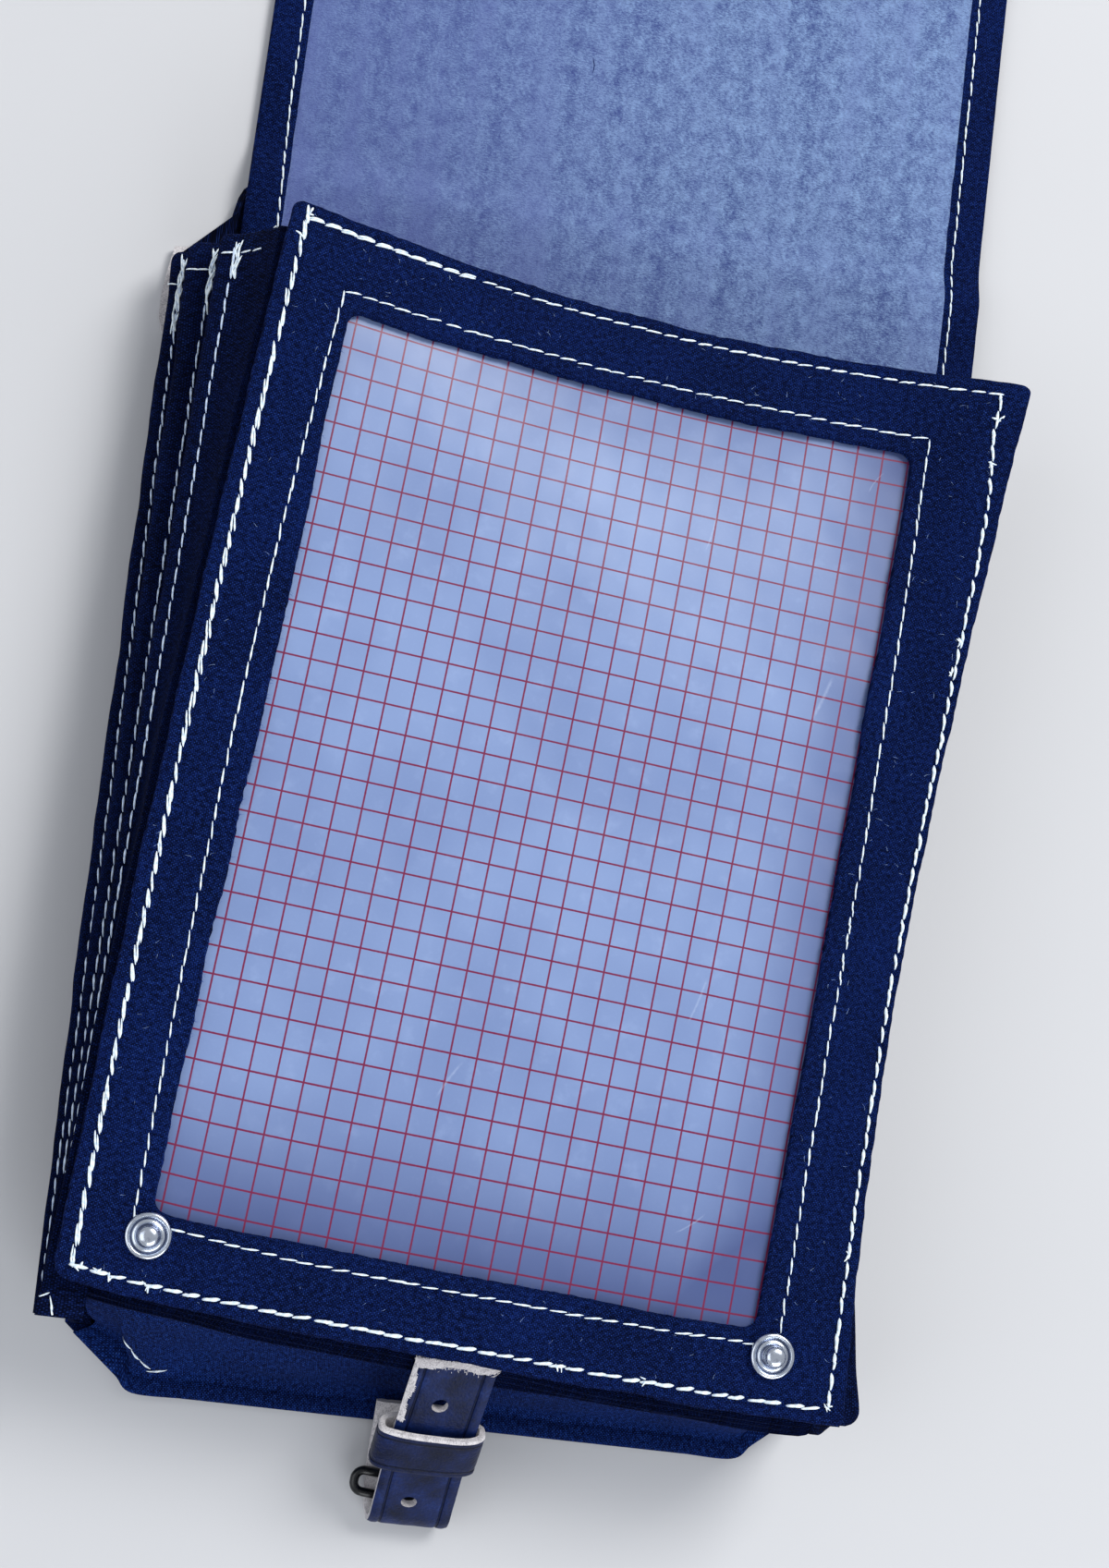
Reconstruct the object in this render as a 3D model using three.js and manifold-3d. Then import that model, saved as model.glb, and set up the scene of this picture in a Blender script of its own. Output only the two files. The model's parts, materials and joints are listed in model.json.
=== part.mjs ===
// Canvas map case lying on its back with its flap thrown open.
// Millimetres, +Z up out of the window, +Y towards the flap, +X to the wearer's right.
import * as THREE from "three";
import { mergeVertices } from "three/addons/utils/BufferGeometryUtils.js";
import Module from "manifold-3d";

const wasm = await Module();
wasm.setup();

// Cloth, film and leather
const canvasWall = 1.5;
const frameWall = 2.0;
const backWall = 2.0;
const filmWall = 0.8;
const liningWall = 0.9;
const leatherWall = 2.2;
const hemWall = 1.2;
const seamGap = 0.3;
const mapGap = 0.6;

// Window panel, the front of the case, turned a little on the body below it
const caseDepth = 52;
const frontWidth = 205;
const frontLength = 282;
const frontTurn = THREE.MathUtils.degToRad(4.2);
const frontShift = -3;
const frontCorner = 4;

// How the slack cloth hangs: dips at the mouth, sags at the foot, drawn in on the right
const mouthDip = 14;
const mouthPull = 2.5;
const footSag = 2.6;
const sideDraw = 7;
const cornerCurl = 4;

// Border round the window and the film under it
const borderLeft = 20.5;
const borderRight = 28.5;
const borderMouth = 24.5;
const borderFoot = 21.5;
const windowCorner = 3.5;
const filmLap = 8;

// Back panel, flap and lining, each reckoned from the window panel it backs or covers
const footMargin = 23.3;
const mouthMargin = 24.7;
const footNarrow = 2;
const footShift = -9.2;
const mouthShift = -2.25;
const chamferAcross = 20;
const chamferAlong = 16.4;
const backCorner = 6;
const flapSpare = 9.5;
const flapLap = 4;
const flapRootLap = 40;
const flapRootInset = 8.5;
const flapHem = 11.2;
const flapCorner = 24;

// Side gussets with their stitched ridges, and the rims and flanges they are sewn by
const ridgeReach = 17;
const ridgeRoot = 2.6;
const ridgeTip = 1.7;
const valleyDepth = 5;
const wallBow = 1.6;
const gussetFold = 2.2;
const gussetFlange = 7;
const rimWidth = 5;
const rimWall = 2.2;
const rimFacet = 4;
const earRise = 26;

// Press studs and the sockets that close on them
const studDiameter = 11.6;
const studHead = 5.4;
const studHeight = 5;
const socketHeight = 2.6;
const studSideInset = 21.5;
const studFootInset = 14.6;

// Strap, keeper, buckle and tabs
const strapWidth = 21.2;
const strapShift = -13;
const strapFold = 25;
const strapDrop = 12;
const strapRise = caseDepth - strapDrop;
const strapHole = 4.2;
const keeperHeight = 14;
const keeperWall = 2;
const keeperPlay = 1.3;
const wireDiameter = 2.4;
const buckleWidth = 29;
const buckleHeight = 8;
const tabReach = 16;
const tabLength = 31;

const canvasFinish = { color: 0x12245a, roughness: 0.9, metalness: 0 };
const hemFinish = { color: 0x0f1f52, roughness: 0.9, metalness: 0 };
const liningFinish = { color: 0x6b7bb8, roughness: 1, metalness: 0 };
const filmFinish = { color: 0x8f9ccc, roughness: 0.25, metalness: 0 };
const leatherFinish = { color: 0x1a2c58, roughness: 0.5, metalness: 0 };
const paleLeatherFinish = { color: 0xb4b2b6, roughness: 0.85, metalness: 0 };
const steelFinish = { color: 0xc8cbd2, roughness: 0.25, metalness: 1 };
const wireFinish = { color: 0x0c1016, roughness: 0.3, metalness: 0.6 };

const lerp = THREE.MathUtils.lerp;
const clamp = THREE.MathUtils.clamp;
const group = new THREE.Group();

function piece(name, geometry, finish) {
  const mesh = new THREE.Mesh(geometry, new THREE.MeshStandardMaterial(finish));
  mesh.name = name;
  group.add(mesh);
  return mesh;
}

function geometryFrom(points, triangles) {
  const geometry = new THREE.BufferGeometry();
  geometry.setAttribute("position", new THREE.Float32BufferAttribute(points.flat(), 3));
  geometry.setIndex(triangles.flat());
  return geometry;
}

// A closed sheet between an upper and a lower surface, each a function of two shares.
function sheet(across, along, lower, upper) {
  const points = [];
  const triangles = [];
  const row = across.length;
  const at = (side, i, j) => side * row * along.length + j * row + i;
  for (const surface of [lower, upper])
    for (const t of along) for (const s of across) points.push(surface(s, t));
  const quad = (a, b, c, d) => triangles.push([a, b, c], [a, c, d]);
  for (let j = 0; j + 1 < along.length; j++)
    for (let i = 0; i + 1 < row; i++) {
      quad(at(1, i, j), at(1, i + 1, j), at(1, i + 1, j + 1), at(1, i, j + 1));
      quad(at(0, i, j), at(0, i, j + 1), at(0, i + 1, j + 1), at(0, i + 1, j));
    }
  const end = along.length - 1;
  for (let i = 0; i + 1 < row; i++) {
    quad(at(0, i, 0), at(0, i + 1, 0), at(1, i + 1, 0), at(1, i, 0));
    quad(at(0, i + 1, end), at(0, i, end), at(1, i, end), at(1, i + 1, end));
  }
  for (let j = 0; j < end; j++) {
    quad(at(0, 0, j + 1), at(0, 0, j), at(1, 0, j), at(1, 0, j + 1));
    quad(at(0, row - 1, j), at(0, row - 1, j + 1), at(1, row - 1, j + 1), at(1, row - 1, j));
  }
  return geometryFrom(points, triangles);
}

// Turns every face round where the surface faces into its solid.
function facingOut(points, triangles) {
  const corner = (i) => new THREE.Vector3(...points[i]);
  let volume = 0;
  for (const [a, b, c] of triangles) volume += corner(a).dot(corner(b).cross(corner(c)));
  const faces = volume < 0 ? triangles.map(([a, b, c]) => [a, c, b]) : triangles;
  return geometryFrom(points, faces);
}

// Triangles over one end of a solid, for an outline seen from any side.
function capOf(outline, first) {
  const plan = outline.map(([x, y]) => new THREE.Vector2(x, y));
  const turned = THREE.ShapeUtils.isClockWise(plan);
  return THREE.ShapeUtils.triangulateShape(plan, []).map(([a, b, c]) =>
    turned ? [first + a, first + b, first + c] : [first + a, first + c, first + b],
  );
}

// A closed solid through sections of as many points each; outline is the plan of its caps,
// and without one the sections close into a ring.
function loft(sections, outline, endOutline = outline) {
  const count = sections[0].length;
  const points = sections.flat();
  const triangles = [];
  const last = outline ? sections.length - 1 : sections.length;
  for (let j = 0; j < last; j++)
    for (let i = 0; i < count; i++) {
      const k = (i + 1) % count;
      const here = j * count;
      const next = ((j + 1) % sections.length) * count;
      triangles.push([here + i, here + k, next + k], [here + i, next + k, next + i]);
    }
  if (outline) {
    const top = (sections.length - 1) * count;
    triangles.push(...capOf(outline, 0));
    triangles.push(...capOf(endOutline, top).map(([a, p, q]) => [a, q, p]));
  }
  return facingOut(points, triangles);
}

function solid(geometry) {
  const bare = geometry.clone();
  bare.deleteAttribute("normal");
  bare.deleteAttribute("uv");
  const merged = mergeVertices(bare, 1e-4);
  const made = new wasm.Manifold(
    new wasm.Mesh({
      numProp: 3,
      vertProperties: new Float32Array(merged.attributes.position.array),
      triVerts: new Uint32Array(merged.index.array),
    }),
  );
  return made;
}

function cut(body, tools) {
  let left = solid(body);
  for (const tool of tools) left = left.subtract(solid(tool));
  const mesh = left.getMesh();
  const geometry = new THREE.BufferGeometry();
  geometry.setAttribute("position", new THREE.Float32BufferAttribute(mesh.vertProperties, 3));
  geometry.setIndex([...mesh.triVerts]);
  return geometry;
}

function shares(steps) {
  return Array.from({ length: steps + 1 }, (_, i) => i / steps);
}

// Window panel: plan and height
const frontHalf = frontWidth / 2;
const frontReach = frontLength / 2;
const frontCentre = footMargin + frontReach;
const backLength = footMargin + frontLength + mouthMargin;
const footWidth = frontWidth - footNarrow;
const windowRight = frontHalf - borderRight;
const windowLeft = borderLeft - frontHalf;
const windowTop = frontReach - borderMouth;
const windowFoot = borderFoot - frontReach;

function frontPlan(u, v) {
  const x = frontShift + u * Math.cos(frontTurn) + v * Math.sin(frontTurn);
  const y = frontCentre - u * Math.sin(frontTurn) + v * Math.cos(frontTurn);
  return [x, y];
}

function frontShares(x, y) {
  const dx = x - frontShift;
  const dy = y - frontCentre;
  const u = dx * Math.cos(frontTurn) - dy * Math.sin(frontTurn);
  const v = dx * Math.sin(frontTurn) + dy * Math.cos(frontTurn);
  return [clamp(u / frontHalf, -1, 1), clamp(v / frontReach, -1, 1)];
}

// The slack mouth sinks between its corners, and the corners curl up.
function mouthSlack(across, along) {
  const near = clamp((along - 0.25) / 0.75, 0, 1);
  return Math.pow(1 - across * across, 1.2) * Math.pow(near, 1.9);
}

// The foot sags a little more on the left.
function footSlack(across, along) {
  const near = clamp((-0.4 - along) / 0.4, 0, 1);
  return (1 - Math.pow(across, 4)) * (1 - 0.2 * across) * near;
}

const draws = [
  { along: -1, share: 0.22 },
  { along: -0.9, share: 0.45 },
  { along: -0.6, share: 0.78 },
  { along: -0.3, share: 1 },
  { along: 0, share: 0.97 },
  { along: 0.5, share: 0.55 },
  { along: 0.9, share: 0.14 },
  { along: 1, share: 0 },
];

// How far the right border is drawn in at a share of the panel's length
function drawAt(along) {
  const last = draws.length - 1;
  const next = clamp(draws.findIndex((row) => row.along >= along), 1, last);
  const [low, high] = [draws[next - 1], draws[next]];
  return sideDraw * lerp(low.share, high.share, (along - low.along) / (high.along - low.along));
}

const curls = [
  { across: -1, along: 1, share: 0.5 },
  { across: 1, along: 1, share: 0.7 },
  { across: 1, along: -1, share: 0.9 },
];

function frontHeight(across, along) {
  let height = caseDepth - mouthDip * mouthSlack(across, along);
  for (const curl of curls) {
    const side = clamp(across * curl.across, 0, 1);
    const end = clamp(along * curl.along, 0, 1);
    height += cornerCurl * curl.share * Math.pow(side * end, 3);
  }
  return height;
}

function frontPoint(u, v, below) {
  const across = clamp(u / frontHalf, -1, 1);
  const along = clamp(v / frontReach, -1, 1);
  const inBorder = clamp((u - windowRight) / borderRight, 0, 1);
  const pull = mouthPull * mouthSlack(across, along) + footSag * footSlack(across, along);
  const [x, y] = frontPlan(u - drawAt(along) * inBorder, v - pull);
  return [x, y, frontHeight(across, along) - below];
}

const filmTop = frameWall + seamGap;
const backingTop = filmTop + filmWall + mapGap;
const frontStack = backingTop + canvasWall;

// Points round a rectangle with round corners, the same number on each side.
function roundedRing(halfWide, halfLong, corner, centreU, centreV, steps) {
  const ring = [];
  const turns = 3;
  const ends = [
    [1, -1],
    [1, 1],
    [-1, 1],
    [-1, -1],
  ];
  ends.forEach(([sideU, sideV], k) => {
    const cu = sideU * (halfWide - corner);
    const cv = sideV * (halfLong - corner);
    for (let i = 0; i <= turns; i++) {
      const angle = (k - 1 + i / turns) * (Math.PI / 2);
      ring.push([cu + corner * Math.cos(angle), cv + corner * Math.sin(angle)]);
    }
    const [nextU, nextV] = ends[(k + 1) % 4];
    const from = ring[ring.length - 1];
    const startAngle = k * (Math.PI / 2);
    const to = [
      nextU * (halfWide - corner) + corner * Math.cos(startAngle),
      nextV * (halfLong - corner) + corner * Math.sin(startAngle),
    ];
    for (let i = 1; i < steps; i++)
      ring.push([lerp(from[0], to[0], i / steps), lerp(from[1], to[1], i / steps)]);
  });
  return ring.map(([u, v]) => [u + centreU, v + centreV]);
}

function windowFrame() {
  const steps = 12;
  const inner = roundedRing(
    (windowRight - windowLeft) / 2,
    (windowTop - windowFoot) / 2,
    windowCorner,
    (windowRight + windowLeft) / 2,
    (windowTop + windowFoot) / 2,
    steps,
  );
  const outer = roundedRing(frontHalf, frontReach, frontCorner, 0, 0, steps);
  const bands = [0, 0.35, 0.7, 1];
  const sections = inner.map(([u, v], i) => {
    const at = (share, below) =>
      frontPoint(lerp(u, outer[i][0], share), lerp(v, outer[i][1], share), below);
    const top = bands.map((share) => at(share, 0));
    const under = bands.map((share) => at(share, frameWall)).reverse();
    return [...top, ...under];
  });
  return loft(sections);
}

function frontSheet(edges, top, wall, nu, nv) {
  const at = (s, t, below) =>
    frontPoint(lerp(edges.left, edges.right, s), lerp(edges.foot, edges.mouth, t), below);
  return sheet(
    shares(nu),
    shares(nv),
    (s, t) => at(s, t, top + wall),
    (s, t) => at(s, t, top),
  );
}

const filmEdges = {
  left: windowLeft - filmLap,
  right: windowRight + filmLap,
  foot: windowFoot - filmLap,
  mouth: windowTop + filmLap,
};
const backingEdges = {
  left: seamGap - frontHalf,
  right: frontHalf - seamGap,
  foot: seamGap - frontReach,
  mouth: frontReach - seamGap,
};

piece("window_frame", windowFrame(), canvasFinish);
piece("map_window", frontSheet(filmEdges, filmTop, filmWall, 12, 16), filmFinish);
piece("front_backing", frontSheet(backingEdges, backingTop, canvasWall, 14, 18), liningFinish);

// Body: back edge, mouth and foot on each side
const flapHalf = (frontWidth + flapSpare) / 2;
const packStep = canvasWall + seamGap;

function frontCornerY(side, end) {
  return frontPlan(side * frontHalf, end * frontReach)[1];
}

const leftMouth = frontCornerY(-1, 1) - 6;
const rightMouth = frontCornerY(1, 1) - 1.5;

// Each ridge: height as a share of the depth, reaches as shares of the ridge's own
const sides = {
  left: {
    sign: -1,
    mouthEdge: flapHalf - mouthShift,
    footEdge: footWidth / 2 - footShift,
    mouthY: leftMouth,
    rearMouthY: leftMouth + earRise,
    footY: frontCornerY(-1, -1) - 10.5,
    edgeLap: 2.2,
    ridges: [
      { level: 0.23, outMouth: 0.9, outMid: 0.04, outFoot: 0.49, seamMouth: 0.64, seamFoot: 0.36 },
      { level: 0.44, outMouth: 0.66, outMid: 0, outFoot: 0.42, seamMouth: 0.18, seamFoot: 0.33 },
      { level: 0.65, outMouth: 0.19, outMid: 0, outFoot: 0.39, seamMouth: -0.14, seamFoot: 0.3 },
    ],
  },
  right: {
    sign: 1,
    mouthEdge: flapHalf + mouthShift,
    footEdge: footWidth / 2 + footShift,
    mouthY: rightMouth,
    rearMouthY: rightMouth + 3.5,
    footY: frontCornerY(1, -1) - 0.5,
    edgeLap: 1.2,
    ridges: [
      { level: 0.23, outMouth: 0.74, outMid: -0.1, outFoot: -0.12, seamMouth: 0.36, seamFoot: -0.25 },
      { level: 0.44, outMouth: 0.6, outMid: -0.1, outFoot: -0.14, seamMouth: 0.2, seamFoot: -0.27 },
      { level: 0.65, outMouth: 0.46, outMid: -0.1, outFoot: -0.16, seamMouth: 0.05, seamFoot: -0.29 },
    ],
  },
};

function backEdge(side, y) {
  return lerp(side.footEdge, side.mouthEdge, clamp(y / backLength, 0, 1));
}

function ridgeShare(side, y) {
  return clamp((y - side.footY) / (side.mouthY - side.footY), 0, 1);
}

// One ridge at a share of the way up: heights, and reaches outside the back edge.
function ridgeAt(side, index, share) {
  const row = side.ridges[index];
  const fromFront = side.ridges.length - index + 0.5;
  const footZ = caseDepth - frontStack - seamGap - fromFront * packStep;
  const seam = ridgeReach * lerp(row.seamFoot, row.seamMouth, share);
  const packIn = ridgeReach * (row.seamFoot - 0.26);
  const loose = ridgeReach * row.seamMouth - 1;
  const bow = Math.sin(Math.PI * share);
  return {
    z: lerp(footZ, caseDepth * row.level, share),
    out: ridgeReach * (lerp(row.outFoot, row.outMouth, share) + row.outMid * bow),
    seam,
    inside: lerp(packIn, loose, share),
    root: lerp(packStep * 0.42, ridgeRoot, share),
    tip: lerp(packStep * 0.32, ridgeTip, share),
    slot: lerp(packStep * 0.47, canvasWall / 2 + seamGap, share),
  };
}

// Where the panel's edge stands above a side of the body, as a reach outside the back edge.
function panelEdgeReach(side, y) {
  const v = (y - frontCentre + side.sign * frontHalf * Math.sin(frontTurn)) / Math.cos(frontTurn);
  const drawn = side.sign > 0 ? drawAt(clamp(v / frontReach, -1, 1)) : 0;
  const x = frontPlan(side.sign * frontHalf - drawn, v)[0];
  return side.sign * x - backEdge(side, y);
}

function underFront(x, y) {
  const [across, along] = frontShares(x, y);
  return frontHeight(across, along) - frontStack - seamGap;
}

const backTop = backWall + seamGap;
const wallFootY = chamferAlong;

// The lower wall: two points between the back edge and the first ridge, and their zones,
// 0 where the wall runs on past the mouth and 1 where it stops with the ridges
const wallRows = [
  { part: 0.34, bow: 1, zone: 0.5 },
  { part: 0.7, bow: 0.6, zone: 1 },
];
const edgeTurn = 0.5;
const finTip = 0.2;
const wallInner = { root: 2, lift: 1.2 };

// The section of a side gusset: reach outside the back edge, height, and how it ends.
function gussetSection(side, share) {
  const yRidge = lerp(side.footY, side.mouthY, share);
  const ridges = side.ridges.map((_, i) => ridgeAt(side, i, share));
  const first = ridges[0];
  const last = ridges[ridges.length - 1];
  const edge = panelEdgeReach(side, yRidge) + side.edgeLap;
  const tip = Math.min(edge, last.inside) - gussetFlange * 0.7;
  const topX = side.sign * (backEdge(side, yRidge) + tip);
  const topZ = underFront(topX, yRidge);
  const outer = [
    { a: -gussetFlange, z: backTop, zone: 0 },
    { a: -edgeTurn, z: backTop, zone: 0 },
  ];
  const inner = [
    { a: -gussetFlange, z: backTop + canvasWall, zone: 0 },
    { a: -wallInner.root, z: backTop + canvasWall, zone: 0 },
  ];
  for (const row of wallRows) {
    const bow = row.bow * lerp(wallBow * 0.75, -wallBow, share);
    const a = lerp(-edgeTurn, first.seam, row.part) + bow;
    const z = lerp(backTop, first.z - first.root, row.part);
    outer.push({ a, z, zone: row.zone });
    inner.push({ a: a - gussetFold, z: z + wallInner.lift * share, zone: row.zone });
  }
  ridges.forEach((ridge, i) => {
    const shoulder = ridge.out - (ridge.out - ridge.seam) * finTip;
    outer.push({ a: ridge.seam, z: ridge.z - ridge.root, zone: 1 });
    outer.push({ a: shoulder, z: ridge.z - ridge.tip, zone: 1 });
    outer.push({ a: ridge.out, z: ridge.z, zone: 1 });
    outer.push({ a: shoulder, z: ridge.z + ridge.tip, zone: 1 });
    outer.push({ a: ridge.seam, z: ridge.z + ridge.root, zone: 1 });
    inner.push({ a: ridge.inside, z: ridge.z - ridge.slot, zone: 1 });
    inner.push({ a: ridge.inside, z: ridge.z + ridge.slot, zone: 1 });
    if (i + 1 < ridges.length) {
      const next = ridges[i + 1];
      const depth = lerp(seamGap, valleyDepth, share);
      const valley = Math.min(ridge.seam, next.seam) - depth;
      const insideValley = Math.min(valley - 1.8, ridge.inside - 0.1, next.inside - 0.1);
      outer.push({ a: valley, z: (ridge.z + next.z) / 2, zone: 1 });
      inner.push({ a: insideValley, z: (ridge.z + next.z) / 2, zone: 1 });
    }
  });
  const slopeA = (last.seam + edge) / 2;
  const slopeZ = (last.z + last.root + topZ - canvasWall) / 2;
  outer.push({ a: slopeA - 0.6 * share, z: slopeZ, zone: 1 });
  outer.push({ a: edge, z: topZ - canvasWall * 0.7, zone: 1 });
  outer.push({ a: edge - edgeTurn, z: topZ, zone: 1 });
  outer.push({ a: tip, z: topZ, zone: 1 });
  inner.push({ a: Math.min(slopeA, last.inside) - 0.1 - 1.8 * share, z: slopeZ, zone: 1 });
  const fold = Math.min(edge - gussetFold, last.inside - 0.3);
  inner.push({ a: fold, z: topZ - canvasWall, zone: 1 });
  inner.push({ a: tip, z: topZ - canvasWall, zone: 1 });
  return [...outer, ...inner.reverse()];
}

// The lower wall ends on the slanting seam of the bottom gusset, the ridges end at the panel.
function gussetY(side, point, share) {
  const corner = footLine(side);
  const packZ = ridgeAt(side, 0, 0).z;
  const wallFoot = lerp(wallFootY, corner, clamp((point.z - backTop) / (packZ - backTop), 0, 1));
  const foot = point.zone === 1 ? side.footY : wallFoot;
  const mouth = lerp(side.rearMouthY, side.mouthY, point.zone);
  return lerp(foot, mouth, share);
}

function footLine(side) {
  return frontCornerY(side.sign, -1) - 3 * packStep + seamGap;
}

function sideGusset(side) {
  const sections = [0, 0.03, 0.1, 0.2, 0.3, 0.4, 0.5, 0.6, 0.7, 0.8, 0.9, 0.97, 1].map((share) => {
    return gussetSection(side, share).map((point) => {
      const y = gussetY(side, point, share);
      return [side.sign * (backEdge(side, y) + point.a), y, point.z];
    });
  });
  const planAt = (share) => gussetSection(side, share).map((point) => [point.a, point.z]);
  return loft(sections, planAt(0), planAt(1));
}

piece("side_gusset_left", sideGusset(sides.left), canvasFinish);
piece("side_gusset_right", sideGusset(sides.right), canvasFinish);

// Pocket walls hang between the ridges, and each dips less than the one before it
const pocketNames = ["pocket_wall_rear", "pocket_wall_middle", "pocket_wall_front"];
const pocketDips = [0, 0.2, 0.5];
const pocketSag = 3;

function pocketPoint(index, s, t, offset) {
  const fromFront = sides.left.ridges.length - index;
  const lap = fromFront * canvasWall;
  const sag = pocketSag * Math.sin(Math.PI * s);
  const leftFoot = frontCornerY(-1, -1) - lap;
  const rightFoot = frontCornerY(1, -1) - lap;
  const leftY = lerp(leftFoot, sides.left.mouthY - 1, t);
  const rightY = lerp(rightFoot, sides.right.mouthY - 1, t);
  const leftRidge = ridgeAt(sides.left, index, ridgeShare(sides.left, leftY));
  const rightRidge = ridgeAt(sides.right, index, ridgeShare(sides.right, rightY));
  const xLeft = -(backEdge(sides.left, leftY) + leftRidge.inside - seamGap);
  const xRight = backEdge(sides.right, rightY) + rightRidge.inside - seamGap;
  const dip = mouthDip * pocketDips[index] * mouthSlack(2 * s - 1, 2 * t - 1);
  return [
    lerp(xLeft, xRight, s),
    lerp(leftY, rightY, s) - sag * t,
    lerp(leftRidge.z, rightRidge.z, s) - dip + offset,
  ];
}

pocketNames.forEach((name, index) => {
  const half = canvasWall / 2;
  const wall = sheet(
    shares(10),
    shares(9),
    (s, t) => pocketPoint(index, s, t, -half),
    (s, t) => pocketPoint(index, s, t, half),
  );
  piece(name, wall, canvasFinish);
});

// Height of the underside of the rearmost pocket wall, for what is seamed under it
function underPockets(x, y) {
  const s = clamp((x + sides.left.footEdge) / footWidth, 0, 1);
  const left = ridgeAt(sides.left, 0, ridgeShare(sides.left, y + s * 8)).z;
  const right = ridgeAt(sides.right, 0, ridgeShare(sides.right, y - (1 - s) * 8)).z;
  return Math.min(left, right) - canvasWall / 2 - seamGap;
}

// Bottom gusset: down from the panel's foot to a flat rim on the back panel, round both corners
const cornerRun = 14;
const cornerRows = [
  { c: 0.12, turn: 0.3, facet: 0, flange: 2 },
  { c: 0.5, turn: 0.5, facet: 0.4, flange: 2.5 },
  { c: 1, turn: 1, facet: 0, flange: gussetFlange },
];

function bottomStations() {
  const left = -sides.left.footEdge;
  const right = sides.right.footEdge;
  const topLeft = left - ridgeAt(sides.left, 0, 0).inside + 2 * seamGap;
  const topRight = right + ridgeAt(sides.right, 0, 0).inside - 2 * seamGap;
  const rimY = (c) => (chamferAlong - 2 * seamGap) * (1 - c) + 0.2;
  const stations = cornerRows.map(({ c, turn, facet, flange }) => ({
    rim: [left + chamferAcross * c, rimY(c)],
    topX: topLeft + cornerRun * c,
    turn: (Math.PI / 2) * turn,
    facet: rimFacet * facet,
    flange,
  }));
  for (const f of shares(8).slice(1, -1))
    stations.push({
      rim: [lerp(left + chamferAcross, right - chamferAcross, f), rimY(1)],
      topX: lerp(topLeft + cornerRun, topRight - cornerRun, f),
      turn: Math.PI / 2,
      facet: 0,
      flange: gussetFlange,
    });
  for (const { c, turn, facet, flange } of cornerRows.toReversed())
    stations.push({
      rim: [right - chamferAcross * c, rimY(c)],
      topX: topRight - cornerRun * c,
      turn: Math.PI - (Math.PI / 2) * turn,
      facet: rimFacet * facet * 0.5,
      flange,
    });
  return stations;
}

function footLineAt(x) {
  const s = clamp((x + frontHalf) / frontWidth, 0, 1);
  return lerp(footLine(sides.left), footLine(sides.right), s) - seamGap;
}

// Points of the wall at one station, from the flange under the pockets down to the rim
function bottomSection(station) {
  const dx = Math.cos(station.turn);
  const dy = Math.sin(station.turn);
  const topY = footLineAt(station.topX);
  const from = (base, d, z) => [base[0] + dx * d, base[1] + dy * d, z];
  const top = [station.topX, topY];
  const rim = station.rim;
  const rimReach = rimWidth + station.facet;
  const inRim = [rim[0] + dx * rimReach, rim[1] + dy * rimReach];
  const wall = (part, inset, lift) => {
    const x = lerp(top[0], inRim[0], part) + dx * inset;
    const y = lerp(top[1], inRim[1], part) + dy * inset;
    return [x, y, lerp(topZ, backTop + rimWall, part) + lift];
  };
  const tip = from(top, station.flange, 0);
  const topZ = underPockets(top[0], top[1]);
  const tipZ = Math.min(topZ, underPockets(tip[0], tip[1])) - 0.4;
  return [
    from(top, station.flange, tipZ),
    from(top, 1.5, topZ - 0.3),
    from(top, 0, topZ - 1.6),
    wall(0.35, 1.1, 0),
    wall(0.72, 1.4, 0),
    from(inRim, 0, backTop + rimWall),
    from(rim, 0.4, backTop + rimWall),
    from(rim, 0, backTop + rimWall * 0.5),
    from(rim, 0.3, backTop),
    from(inRim, station.flange, backTop),
    from(inRim, station.flange, backTop + canvasWall),
    from(inRim, 1.8, backTop + rimWall + 0.6),
    wall(0.72, 3, 0.2),
    wall(0.35, 2.7, 0.2),
    from(top, 1.7, topZ - 2.2),
    from(top, station.flange, tipZ - canvasWall),
  ];
}

function bottomGusset() {
  const sections = bottomStations().map(bottomSection);
  const first = sections[0].map(([x, , z]) => [x, z]);
  const last = sections[sections.length - 1].map(([x, , z]) => [-x, z]);
  return loft(sections, first, last);
}

piece("bottom_gusset", bottomGusset(), canvasFinish);

// Back panel, flat on whatever the case lies on
function backPanel() {
  const left = -sides.left.footEdge;
  const right = sides.right.footEdge;
  const round = backCorner;
  const plan = new THREE.Shape();
  plan.moveTo(left + chamferAcross, 0);
  plan.lineTo(right - chamferAcross, 0);
  plan.lineTo(right, chamferAlong);
  plan.lineTo(sides.right.mouthEdge, backLength - round);
  plan.quadraticCurveTo(
    sides.right.mouthEdge,
    backLength,
    sides.right.mouthEdge - round,
    backLength,
  );
  plan.lineTo(-sides.left.mouthEdge + round, backLength);
  plan.quadraticCurveTo(
    -sides.left.mouthEdge,
    backLength,
    -sides.left.mouthEdge,
    backLength - round,
  );
  plan.lineTo(left, chamferAlong);
  plan.closePath();
  return new THREE.ExtrudeGeometry(plan, {
    depth: backWall,
    bevelEnabled: false,
    curveSegments: 4,
  });
}

piece("back_panel", backPanel(), canvasFinish);

// Flap: its narrow root lies on the back panel between the gussets, the rest flat beyond,
// long enough to turn over the mouth and reach past the studs
const flapReach = caseDepth + frontLength + flapLap;
const flapRoot = backLength - flapRootLap;
const flapEnd = backLength + flapReach;
const rootHeight = backTop + canvasWall + seamGap;
const flapDrop = { start: 4, length: 14 };
const shoulderY = rightMouth + ridgeTip + 8;
const shoulderRun = 5;

function flapBase(y) {
  const down = clamp((y - backLength - flapDrop.start) / flapDrop.length, 0, 1);
  return rootHeight * (1 - down * down * (3 - 2 * down));
}

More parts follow.
